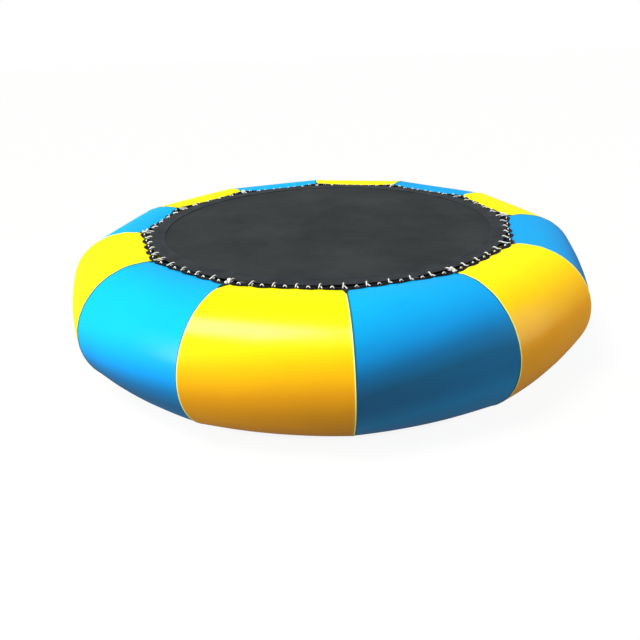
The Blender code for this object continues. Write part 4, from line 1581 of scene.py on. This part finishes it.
@dataclass(frozen=True)
class LacingCords:
    """Six white shock cords that zigzag between the eyelets and the webbing loops."""

    lacing: Lacing = LACING
    panels_per_cord: int = 2
    loop_lead: float = 0.003
    bight_rise: float = 0.008
    bight_half: float = 0.009
    sides: int = 10
    knot_radius: float = 0.0066
    knot_wraps: int = 3
    knot_out: float = 0.036
    knot_sink: float = 0.003
    knot_steps: int = 20
    end_knot_share: float = 0.8
    end_knot_lead: float = 0.006
    end_knot_rise: float = 0.0045
    tail_length: float = 0.028
    end_tail_share: float = 0.6
    sample: float = 0.0088
    corner: float = 0.0035

    def in_loop(self, panel: int, y: float, lead: float = 0.0, rise: float = 0.0) -> Vector:
        """A point of the cord at a webbing loop.

        Args:
            panel: The panel's number.
            y: Distance along the panel, at which the loop's height is taken.
            lead: How far further along the point lies.
            rise: How far above the loop's middle it lies.

        Returns:
            The point.
        """
        height = self.lacing.cord_level(panel, y) + rise
        return self.lacing.tube.turn(panel) @ Vector((self.lacing.loop_line, y + lead, height))

    def over_edge(self, eyelet: Vector, loop_end: Vector, height: float) -> Vector:
        """Where a strand between an eyelet and a loop crosses the skirt's outer edge.

        Args:
            eyelet: The strand's end at the eyelet.
            loop_end: Its end at the loop.
            height: How high it crosses.

        Returns:
            The point.
        """
        inner, outer = eyelet.xy.length, loop_end.xy.length
        share = (self.lacing.skirt_outer - inner) / (outer - inner)
        return eyelet.xy.lerp(loop_end.xy, share).to_3d() + Vector((0.0, 0.0, height))

    def route(self, first_panel: int) -> list[Vector]:
        """The corners of one cord's route.

        Args:
            first_panel: The number of its first panel.

        Returns:
            The corners, from its first eyelet to its last loop.
        """
        lacing = self.lacing
        above = lacing.skirt_top + lacing.cord_radius + lacing.cord_lift
        below = lacing.skirt_bottom - lacing.cord_radius - lacing.cord_lift
        half = lacing.loop_length / 2
        bight = ((-1.0, 0.0), (-0.3, 1.0), (0.3, 1.0), (1.0, 0.0))
        points: list[Vector] = []
        for step in range(self.panels_per_cord * lacing.eyelets_per_panel):
            panel = (first_panel + step // lacing.eyelets_per_panel) % lacing.tube.panel_count
            place = lacing.loop_places[step % lacing.eyelets_per_panel]
            number = first_panel * lacing.eyelets_per_panel + step
            angles = [FULL_TURN * index / lacing.eyelet_count for index in (number, number + 1)]
            entry = self.in_loop(panel, place - half, lead=-self.loop_lead)
            leave = self.in_loop(panel, place + half, lead=self.loop_lead)
            hole_top, next_top = [ring_point(lacing.eyelet_circle, angle, above) for angle in angles]
            hole_bottom = ring_point(lacing.eyelet_circle, angles[0], below)
            points += [hole_top, hole_bottom, self.over_edge(hole_bottom, entry, below), entry]
            for share, rise in bight:
                y = place + share * self.bight_half
                points.append(self.in_loop(panel, y, rise=rise * self.bight_rise))
            points += [leave, self.over_edge(next_top, leave, above)]
        return points[:-1]

    def softened(self, corners: Sequence[Vector]) -> list[Vector]:
        """Rounds the corners of a route, as cord under tension lies.

        Args:
            corners: The route's corners.

        Returns:
            Points along the rounded route.
        """
        bends = [bend(*three, self.corner, 3) for three in zip(corners, corners[1:], corners[2:])]
        smooth = [corners[0], *[point for points in bends for point in points], corners[-1]]
        dense = [smooth[0]]
        for first, second in zip(smooth, smooth[1:]):
            pieces = max(1, ceil((second - first).length / self.sample))
            dense += [first.lerp(second, (i + 1) / pieces) for i in range(pieces)]
        return dense

    def add_knot(
        self, builder: MeshBuilder, centre: Vector, axis: Vector, spread: float, tail: Vector
    ) -> None:
        """Adds a stopper knot: a coil that wraps round the cord and crosses over itself.

        Args:
            builder: The builder that gets the knot.
            centre: The knot's middle.
            axis: The cord's direction.
            spread: The radius of the wraps' centreline.
            tail: The way from the knot's middle to the end of the cord.
        """
        along = axis.normalized()
        side = along.orthogonal().normalized()
        other = along.cross(side)
        points = []
        steps = self.knot_steps * self.knot_wraps
        for step in range(steps + 1):
            share = step / steps
            turn = FULL_TURN * self.knot_wraps * share
            reach = spread * (0.85 + 0.25 * sin(pi * share))
            lift = spread * (1.5 * (share - 0.5) + 0.35 * sin(2 * turn + 0.6))
            wrap = side * (reach * cos(turn)) + other * (reach * sin(turn))
            points.append(centre + wrap + along * lift)
        rise = Vector((0, 0, self.lacing.cord_radius))
        bight = centre + tail * 0.7
        points += [points[-1].lerp(bight, 0.5) + rise, bight + rise * 0.6, centre + tail]
        builder.add_tube(points, self.lacing.cord_radius * 1.05, self.sides)

    def cord(self, number: int) -> Object:
        """Builds one cord with its two knots.

        Args:
            number: The cord's number, from 0.

        Returns:
            The cord.
        """
        lacing = self.lacing
        corners = self.route(number * self.panels_per_cord)
        out = corners[0].xy.to_3d().normalized()
        around = Vector((-out.y, out.x, 0.0))
        start = corners[0] + out * self.knot_out
        start.z = lacing.skirt_top + 1.1 * self.knot_radius + lacing.cord_radius - self.knot_sink
        corners.insert(0, start)
        builder = MeshBuilder().add_tube(self.softened(corners), lacing.cord_radius, self.sides)
        lean = out * 0.9 + around * 0.45 - Vector((0.0, 0.0, 0.25))
        self.add_knot(builder, start, around, self.knot_radius, lean * self.tail_length)
        last = corners[-1]
        way = (last - corners[-2]).normalized()
        middle = last + way * self.end_knot_lead + Vector((0, 0, self.end_knot_rise))
        inwards = last.xy.to_3d().normalized() * 0.8
        tail = (way * 0.6 - inwards) * self.tail_length * self.end_tail_share
        self.add_knot(builder, middle, way, self.knot_radius * self.end_knot_share, tail)
        return builder.object(f"shock_cord_{number + 1}", CORD_FINISH)

    def build(self) -> None:
        """Builds all the cords."""
        for number in range(self.lacing.tube.panel_count // self.panels_per_cord):
            place_piece(self.cord(number), Body.RING, f"lacing_cord_{number + 1}")


# Valve and anchors


@dataclass(frozen=True)
class Valve:
    """Push-button inflation valve on the outer side of a rear panel."""

    tube: Tube = TUBE
    sides: int = 64
    flange_radius: float = FLANGE_RADIUS
    flange_thickness: float = 0.0025
    bore_radius: float = 0.021
    wall: float = 0.004
    depth: float = 0.020
    passage_radius: float = 0.016
    neck_radius: float = 0.0245
    neck_height: float = 0.0031
    collar_radius: float = 0.028
    collar_height: float = 0.0043
    body_foot: float = 0.002
    hub_radius: float = 0.006
    hub_height: float = 0.004
    hub_depth: float = 0.010
    hub_sides: int = 32
    arms: int = 3
    arm_width: float = 0.003
    arm_sunk: float = 0.001
    stem_radius: float = 0.003
    stem_clearance: float = 0.0004
    button_radius: float = 0.0075
    button_height: float = 0.003
    button_level: float = -0.006
    button_travel: float = 0.0045
    plate_radius: float = 0.0195
    plate_thickness: float = 0.002
    seal_width: float = 0.0045
    seal_thickness: float = 0.002
    spring_radius: float = 0.005
    spring_wire: float = 0.0006
    spring_turns: int = 3
    cap_clearance: float = 0.0008
    cap_wall: float = 0.004
    cap_roof: float = 0.004
    cap_chamfer: float = 0.002
    cap_grip: tuple[float, float, float] = (0.040, 0.007, 0.006)
    cap_rib_radius: float = 0.0007
    cap_ribs: int = 36
    tether_clearance: float = 0.0008
    tether_ring: float = 0.005
    tether_thickness: float = 0.0025
    tether_width: float = 0.006
    tether_reach: float = 0.010
    tether_hold: float = 0.004

    @property
    def place(self) -> Matrix:
        """The valve's frame, with Z along its axis and out."""
        return self.tube.seat_frame(VALVE_PANEL, VALVE_ANGLE)

    @property
    def neck_bottom(self) -> float:
        """Level of the neck's foot."""
        return SEAT_GAP + self.flange_thickness + SEAT_GAP

    @property
    def collar_bottom(self) -> float:
        """Level of the collar's underside."""
        return self.neck_bottom + self.neck_height

    @property
    def collar_top(self) -> float:
        """Level of the collar's top."""
        return self.collar_bottom + self.collar_height

    @property
    def hub_top(self) -> float:
        """Level of the guide's top."""
        return self.button_level - self.hub_depth + SEAT_GAP

    @property
    def seal_top(self) -> float:
        """Level of the seal's upper face, under the body's foot."""
        return -self.depth - self.body_foot - SEAT_GAP

    @property
    def cap_outer(self) -> float:
        """Outer radius of the cap."""
        return self.collar_radius + self.cap_clearance + self.cap_wall

    @property
    def cap_top(self) -> float:
        """Level of the cap's roof."""
        return self.collar_top + SEAT_GAP + self.cap_roof

    def turned(self, profile: Sequence[Point], fillet: float) -> MeshBuilder:
        """A builder with one turned body in the valve's frame."""
        return MeshBuilder().add_turned(rounded(profile, fillet, 3), self.sides, self.place)

    def ring(self, inner: float, outer: float, low: float, high: float, fillet: float) -> MeshBuilder:
        """A builder with one turned ring of a rectangular section."""
        return self.turned([(inner, high), (inner, low), (outer, low), (outer, high)], fillet)

    def base(self) -> MeshBuilder:
        """The flange on the fabric and the sleeve through it."""
        bore, rim = self.bore_radius, self.flange_radius
        outer = bore + self.wall
        top = SEAT_GAP + self.flange_thickness
        sleeve = [(bore, top), (bore, -self.depth), (outer, -self.depth), (outer, SEAT_GAP)]
        edge = [(rim, SEAT_GAP), (rim, SEAT_GAP + self.flange_thickness * 0.35)]
        return self.turned([*sleeve, *edge, (rim - 0.007, top - 0.0006), (rim - 0.008, top)], 0.0005)

    def body(self) -> MeshBuilder:
        """The screwed insert: neck, collar and three-armed guide."""
        passage, neck, collar = self.passage_radius, self.neck_radius, self.collar_radius
        outer = self.bore_radius - SEAT_GAP
        bottom = -self.depth - self.body_foot
        insert = [(passage, self.collar_top), (passage, bottom), (outer, bottom), (outer, self.neck_bottom)]
        head = [(neck, self.neck_bottom), (neck, self.collar_bottom)]
        head += [(collar, self.collar_bottom), (collar, self.collar_top)]
        builder = self.turned(insert + head, 0.0005)
        bore = self.stem_radius + self.stem_clearance
        low = self.hub_top - self.hub_height
        hub = [(bore, self.hub_top), (bore, low), (self.hub_radius, low), (self.hub_radius, self.hub_top)]
        builder.add_turned(rounded(hub, 0.0004, 2), self.hub_sides, self.place)
        reaches = (self.hub_radius - self.arm_sunk, passage + self.arm_sunk)
        for turn in turns(self.arms):
            points = [self.place @ ring_point(reach, turn, (self.hub_top + low) / 2) for reach in reaches]
            builder.add_tube(points, self.arm_width / 2, 12)
        return builder

    def poppet(self) -> MeshBuilder:
        """The stem with its push button and plate."""
        button, stem, plate = self.button_radius, self.stem_radius, self.plate_radius
        plate_top = self.seal_top - self.seal_thickness - SEAT_GAP
        low = plate_top - self.plate_thickness
        top = self.button_level + self.button_height
        head = [(0, top), (button, top), (button, self.button_level), (stem, self.button_level)]
        return self.turned([*head, (stem, plate_top), (plate, plate_top), (plate, low), (0, low)], 0.0006)

    def seal(self) -> MeshBuilder:
        """The rubber ring under the body's foot."""
        inner, low = self.plate_radius - self.seal_width, self.seal_top - self.seal_thickness
        return self.ring(inner, self.plate_radius, low, self.seal_top, 0.0007)

    def spring(self) -> MeshBuilder:
        """The helical spring between the guide and the button."""
        low = self.hub_top + self.spring_wire + SEAT_GAP
        rise = self.button_level - self.spring_wire - SEAT_GAP - low
        steps = 24 * self.spring_turns
        points = []
        for step in range(steps + 1):
            share = step / steps
            turn = FULL_TURN * self.spring_turns * share
            points.append(self.place @ ring_point(self.spring_radius, turn, low + rise * share))
        return MeshBuilder().add_tube(points, self.spring_wire, 8)

    def cap(self) -> MeshBuilder:
        """The cap with a ribbed skirt and a bar to turn it by."""
        inner, outer = self.collar_radius + self.cap_clearance, self.cap_outer
        top, low, ceiling = self.cap_top, self.collar_bottom, self.collar_top + SEAT_GAP
        roof = [(0, top), (outer - self.cap_chamfer, top), (outer, top - self.cap_chamfer)]
        builder = self.turned([*roof, (outer, low), (inner, low), (inner, ceiling), (0, ceiling)], 0.0007)
        for turn in turns(self.cap_ribs):
            ends = (low + 0.001, top - 0.0025)
            points = [self.place @ ring_point(outer, turn, height) for height in ends]
            builder.add_tube(points, self.cap_rib_radius, 8)
        length, width, height = self.cap_grip
        rows = []
        for level, inset in ((-0.001, 0.0), (height * 0.6, 0.0), (height * 0.9, 0.0006), (height, 0.002)):
            row = []
            for turn in turns(32):
                x = copysign(abs(cos(turn)) ** 0.45, cos(turn)) * (length / 2 - inset)
                y = copysign(abs(sin(turn)) ** 0.7, sin(turn)) * (width / 2 - inset)
                row.append(self.place @ Vector((x, y, top + level)))
            rows.append(row)
        builder.add_grid(rows)
        return builder

    def tether_parts(self) -> tuple[MeshBuilder, MeshBuilder]:
        """The tether's ring on the neck, and the strap from it to the cap's side."""
        inner = self.neck_radius + self.tether_clearance
        outer = inner + self.tether_ring
        low = self.neck_bottom + SEAT_GAP
        ring = self.ring(inner, outer, low, low + self.tether_thickness, 0.0005)
        half = self.tether_thickness / 2
        far = self.cap_outer + self.tether_reach - half
        top = self.cap_top - self.cap_chamfer - half
        places = [(outer - self.tether_ring / 2, low + half), (far, low + half)]
        places += [(far, top), (self.cap_outer + SEAT_GAP, top)]
        corners = [Vector((x, 0, z)) for x, z in places]
        bends = [bend(*three, inf, 6, 0.48) for three in zip(corners, corners[1:], corners[2:])]
        points = [corners[0], *bends[0], *bends[1], corners[-1]]
        across = (self.place.to_3x3() @ Vector((0, 1, 0))).normalized()
        flat = (1.0, self.tether_width / self.tether_thickness)
        points = [self.place @ point for point in points]
        return ring, MeshBuilder().add_tube(points, half, 16, flat=flat, up=across)

    def build(self) -> None:
        """Builds the valve's pieces, all but the tether's strap on their bodies."""
        ring, strap = self.tether_parts()
        rows = [
            ("valve_flange", self.base(), NYLON_FINISH, Body.RING, "valve_plastic", "valve_base"),
            ("valve_insert", self.body(), NYLON_FINISH, Body.RING, "valve_plastic", "valve_body"),
            ("valve_button_stem", self.poppet(), NYLON_FINISH, Body.POPPET, "valve_plastic", "valve_poppet"),
            ("valve_seal_ring", self.seal(), RUBBER_FINISH, Body.POPPET, "valve_rubber", "valve_seal"),
            ("valve_cap_cover", self.cap(), NYLON_FINISH, Body.CAP, "valve_plastic", "valve_cap"),
            ("valve_coil", self.spring(), STEEL_FINISH, Body.RING, "spring_steel", "valve_spring"),
            ("tether_ring", ring, RUBBER_FINISH, Body.TETHER, "valve_rubber", "valve_tether"),
        ]
        made = {
            name: place_piece(builder.object(name, finish), body, node)
            for name, builder, finish, body, slot, node in rows
        }
        axis = self.place.to_3x3() @ Vector((0, 0, 1))
        anchor = self.place @ Vector((0, 0, self.hub_top))
        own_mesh(made["valve_coil"])
        piece = strap.object("tether_strap", RUBBER_FINISH)
        levels = (self.neck_bottom + self.tether_thickness, self.cap_top - self.tether_hold)
        low, high = [self.place @ Vector((0, 0, level)) for level in levels]
        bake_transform(piece)


@dataclass(frozen=True)
class Anchors:
    """Four anchor points low on the inner side: a welded patch, a webbing tab and a D-shaped ring."""

    tube: Tube = TUBE
    patch_thickness: float = 0.002
    weld_groove: float = 0.0005
    patch_rim: float = 0.0006
    tab_width: float = 0.028
    tab_tail: float = 0.026
    tab_wrap: float = radians(265)
    tab_steps: int = 12
    strap: float = 0.0015
    eye_clearance: float = 0.0006
    wire_radius: float = 0.003
    inner_width: float = 0.040
    inner_depth: float = 0.030
    bow_power: float = 0.7
    bow_steps: int = 36
    ring_corner: float = 0.006
    stitch_near: float = 0.0125
    stitch_inset: float = 0.003
    stitch_pitch: float = 0.0032
    stitch_radius: float = 0.00045
    stitch_dip: float = 0.0005

    @property
    def skin_top(self) -> float:
        """Height of the tab's underside above the skin."""
        return SEAT_GAP + self.patch_thickness + SEAT_GAP

    @property
    def eye_height(self) -> float:
        """Height of the ring's bar above the skin."""
        return self.skin_top + self.strap + self.wire_radius + self.eye_clearance

    def patch(self, seat: Matrix) -> MeshBuilder:
        """The round patch, with a weld line pressed into it near its edge.

        Args:
            seat: The patch's frame.

        Returns:
            A builder that holds it.
        """
        rim, high = PATCH_RADIUS, SEAT_GAP + self.patch_thickness
        pressed = high - self.weld_groove
        groove = [(rim - 0.009, high), (rim - 0.008, pressed), (rim - 0.006, pressed), (rim - 0.005, high)]
        profile = [(0, high), *groove, (rim, high - self.patch_rim), (rim, SEAT_GAP), (0, SEAT_GAP)]
        return MeshBuilder().add_turned(rounded(profile, 0.0004, 2), 64, seat)

    def tab(self, seat: Matrix) -> MeshBuilder:
        """The webbing folded round the ring's bar, with its doubled tail stitched to the patch.

        Args:
            seat: The patch's frame.

        Returns:
            A builder that holds it.
        """
        reach = self.wire_radius + self.eye_clearance + self.strap / 2
        bottom = self.skin_top + self.strap / 2
        doubled = bottom + self.strap
        places = [(self.tab_tail, bottom), (0.012, bottom), (0.002, bottom)]
        for step in range(self.tab_steps + 1):
            turn = -pi / 2 - self.tab_wrap * step / self.tab_steps
            places.append((reach * cos(turn), self.eye_height + reach * sin(turn)))
        places += [(reach + 0.004, doubled + 0.0009), (0.014, doubled), (self.tab_tail - 0.001, doubled)]
        rows: Rows = []
        marks: Marks = []
        for side in (-1.0, -0.94, -0.5, 0.0, 0.5, 0.94, 1.0):
            y = side * self.tab_width / 2
            half = self.strap / 2 * (0.5 if abs(side) == 1.0 else 0.97)
            rows.append(strap_row([Vector((x, y, z)) for x, z in places], -half, seat))
            line = [(2.2 * index, MM * y, FAR_MM) for index in range(len(places))]
            marks.append(line + line[::-1])
        return MeshBuilder().add_grid(rows, marks)

    def ring(self, hang: Matrix) -> MeshBuilder:
        """The D-shaped ring: a straight bar at its origin and a bow below it.

        Args:
            hang: The frame of the bar.

        Returns:
            A builder that holds the ring.
        """
        half = self.inner_width / 2 + self.wire_radius
        depth = self.inner_depth + 2 * self.wire_radius
        corner = self.ring_corner
        points = [Vector((0, y, 0)) for y in (corner - half, 0, half - corner)]
        for step in range(1, self.bow_steps):
            turn = pi * step / self.bow_steps
            y = half * cos(turn)
            z = -depth * sin(turn) ** self.bow_power
            if z > -corner:
                inside = corner - min(corner, half - abs(y))
                z = -corner + sqrt(max(0.0, corner**2 - inside**2)) * 0.2
            points.append(Vector((0, y, z)))
        return MeshBuilder().add_tube([hang @ point for point in points], self.wire_radius, 16, closed=True)

    def stitches(self, seat: Matrix) -> MeshBuilder:
        """The crossed box of stitches that holds the tab's tail.

        Args:
            seat: The patch's frame.

        Returns:
            A builder that holds them.
        """
        level = self.skin_top + self.strap * 2 + 0.0001
        near, far = self.stitch_near, self.tab_tail - 0.0025
        half = self.tab_width / 2 - self.stitch_inset
        places = [(near, -half), (far, -half), (far, half), (near, half), (near, -half), (far, half)]
        corners = [Vector((x, y, level)) for x, y in places]
        shape = ((0.15, self.stitch_dip), (0.325, 0.0), (0.675, 0.0), (0.85, self.stitch_dip))
        builder = MeshBuilder()
        for start, end in [*zip(corners, corners[1:]), (corners[1], corners[3])]:
            count = max(2, round((end - start).length / self.stitch_pitch))
            for index in range(count):
                line = [start.lerp(end, (index + a) / count) - Vector((0, 0, dip)) for a, dip in shape]
                builder.add_tube([seat @ point for point in line], self.stitch_radius, 5)
        return builder

    def build(self) -> None:
        """Builds the four anchor points."""
        for number, panel in enumerate(ANCHOR_PANELS, start=1):
            seat = self.tube.seat_frame(panel, ANCHOR_ANGLE)
            hang = self.tube.turn(panel)
            hang.translation = seat @ Vector((0, 0, self.eye_height))
            colour = self.tube.colouring(panel)
            patch = self.patch(seat).object(f"weld_patch_{number}", FABRIC_FINISH[colour])
            place_piece(patch, Body.RING, f"anchor_patch_{number}")
            tab = self.tab(seat).object(f"ring_tab_{number}", STRAP_FINISH)
            place_piece(tab, Body.RING, f"anchor_tab_{number}")
            stitches = self.stitches(seat).object(f"tab_stitches_{number}", THREAD_FINISH)
            place_piece(stitches, Body.RING)
            ring = self.ring(hang).object(f"d_ring_{number}", STEEL_FINISH)
            place_piece(ring, f"ring_{number}", f"anchor_ring_{number}")


# Floor, light and camera


@dataclass(frozen=True)
class Lamp:
    """A soft square lamp beside the object."""

    name: str
    place: tuple[float, float, float]
    aim: tuple[float, float, float]
    size: float
    power: float


@dataclass(frozen=True)
class Studio:
    """A white floor, soft light from above and the photograph's viewpoint."""

    tube: Tube = TUBE
    image: int = 640
    sensor: float = 36.0
    azimuth: float = radians(-93.70)
    elevation: float = radians(19.867)
    distance: float = 4.3414
    roll: float = radians(-1.659)
    focal_px: float = 720.47
    axis_px: tuple[float, float] = (329.04, 275.07)
    floor_size: float = 60.0
    floor_gap: float = 0.0005
    floor_colour: str = "#8C8C8C"
    floor_glow: float = 1.22
    floor_glow_share: float = 0.76
    floor_shade: tuple[float, float] = (0.95, 1.3)
    world_strength: float = 0.22
    sky_colour: str = "#FFFCF5"
    sky_strength: float = 2.9
    sky_spread: float = radians(23)
    sky_azimuth: float = radians(-157)
    sky_elevation: float = radians(64)
    lamps: tuple[Lamp, ...] = (
        Lamp("left_panel", (-5.0, -2.6, 1.8), (-1.0, -0.6, 0.3), 2.5, 185.0),
        Lamp("right_panel", (5.0, -1.6, 1.3), (1.1, -0.6, 0.3), 3.2, 88.0),
    )

    def camera(self) -> None:
        """Places the camera where the photograph was taken."""
        data = bpy.data.cameras.new("viewpoint")
        data.sensor_width = self.sensor
        data.lens = self.focal_px / self.image * self.sensor
        data.shift_x = 0.5 - self.axis_px[0] / self.image
        data.shift_y = self.axis_px[1] / self.image - 0.5
        data.clip_end = 200.0
        camera = bpy.data.objects.new("viewpoint", data)
        bpy.context.scene.collection.objects.link(camera)
        back = direction(self.azimuth, self.elevation)
        place = Vector((0, 0, self.tube.centre_height)) + back * self.distance
        aim = (-back).to_track_quat("-Z", "Y").to_matrix().to_4x4()
        camera.matrix_world = Matrix.Translation(place) @ aim @ Matrix.Rotation(self.roll, 4, "Z")
        bpy.context.scene.camera = camera

    def add_light(self, data: Light, place: Vector, aim: Vector) -> None:
        """Hangs a light.

        Args:
            data: The light's own settings.
            place: Where it hangs.
            aim: The point that it faces.
        """
        light = bpy.data.objects.new(data.name, data)
        bpy.context.scene.collection.objects.link(light)
        light.location = place
        light.rotation_mode = "QUATERNION"
        light.rotation_quaternion = (aim - place).to_track_quat("-Z", "Y")

    def lights(self) -> None:
        """Hangs a broad light from the upper left, even over the whole floor, and a lamp on either side."""
        sky = bpy.data.lights.new("sky_light", "SUN")
        sky.energy = self.sky_strength
        sky.angle = self.sky_spread
        sky.color = linear(self.sky_colour)[:3]
        self.add_light(sky, direction(self.sky_azimuth, self.sky_elevation), Vector())
        for lamp in self.lamps:
            data = bpy.data.lights.new(lamp.name, "AREA")
            data.size = lamp.size
            data.energy = lamp.power
            self.add_light(data, Vector(lamp.place), Vector(lamp.aim))

    def background_share(self, tree: NodeTree) -> Node:
        """Adds a value that is 1 on camera, glossy and transmission rays.

        Args:
            tree: The node tree that gets it.

        Returns:
            The node that gives the value.
        """
        rays = add_node(tree, "ShaderNodeLightPath").outputs
        pair = {0: rays["Is Camera Ray"], 1: rays["Is Glossy Ray"]}
        seen = add_node(tree, "ShaderNodeMath", pair, operation="MAXIMUM")
        pair = {0: seen, 1: rays["Is Transmission Ray"]}
        return add_node(tree, "ShaderNodeMath", pair, operation="MAXIMUM")

    def world(self) -> None:
        """Makes the world white to the eye and a plain fill light to surfaces."""
        world = bpy.data.worlds.new("studio_air")
        bpy.context.scene.world = world
        world.use_nodes = True
        tree = world.node_tree
        fill = {"Value": self.background_share(tree), "To Min": self.world_strength, "To Max": 1.0}
        strength = add_node(tree, "ShaderNodeMapRange", fill)
        feed(tree.nodes["Background"], {"Color": linear("#FFFFFF"), "Strength": strength})

    def floor(self) -> None:
        """Lays the floor, lightened to the eye so that only the object's soft shadow shows on it."""
        material, tree, shader = new_material("studio_floor")
        feed(shader, {"Base Color": linear(self.floor_colour), "Roughness": 0.9, "Specular IOR Level": 0.0})
        glow = add_node(tree, "ShaderNodeEmission", {"Color": linear("#FFFFFF"), "Strength": self.floor_glow})
        # Under the mat no light comes in, so the floor doesn't glow there
        place = add_node(tree, "ShaderNodeTexCoord").outputs["Object"]
        away = add_node(tree, "ShaderNodeVectorMath", {0: place}, operation="LENGTH").outputs["Value"]
        start, end = self.floor_shade
        shade = {"Value": away, "From Min": start, "From Max": end, "To Max": self.floor_glow_share}
        lit = add_node(tree, "ShaderNodeMapRange", shade, interpolation_type="SMOOTHSTEP")
        pair = {0: self.background_share(tree), 1: lit}
        part = add_node(tree, "ShaderNodeMath", pair, operation="MULTIPLY")
        mixed = add_node(tree, "ShaderNodeMixShader", {0: part, 1: shader, 2: glow})
        # From below the floor is clear, so that the underside can be seen through it
        clear = add_node(tree, "ShaderNodeBsdfTransparent")
        below = add_node(tree, "ShaderNodeNewGeometry").outputs["Backfacing"]
        seen = add_node(tree, "ShaderNodeMixShader", {0: below, 1: mixed, 2: clear})
        output = next(node for node in tree.nodes if node.type == "OUTPUT_MATERIAL")
        feed(output, {"Surface": seen})
        half = self.floor_size / 2
        sides = ((-1, -1), (1, -1), (1, 1), (-1, 1))
        corners = [Vector((x * half, y * half, -self.floor_gap)) for x, y in sides]
        mesh_object("studio_floor", corners, [(0, 1, 2, 3)], material)

    def build(self) -> None:
        """Sets up the whole studio."""
        bpy.context.scene.view_settings.view_transform = "Standard"
        self.camera()
        self.world()
        self.lights()
        self.floor()


def main() -> None:
    """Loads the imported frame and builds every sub-assembly round it."""
    logging.basicConfig(level=logging.INFO, format="%(name)s: %(message)s")
    for obj in list(bpy.data.objects):
        bpy.data.objects.remove(obj, do_unlink=True)
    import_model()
    for assembly in (Studio, Panels, LacingStrips, Skirt, JumpMat, LacingCords, Valve, Anchors):
        assembly().build()


if __name__ == "__main__":
    main()
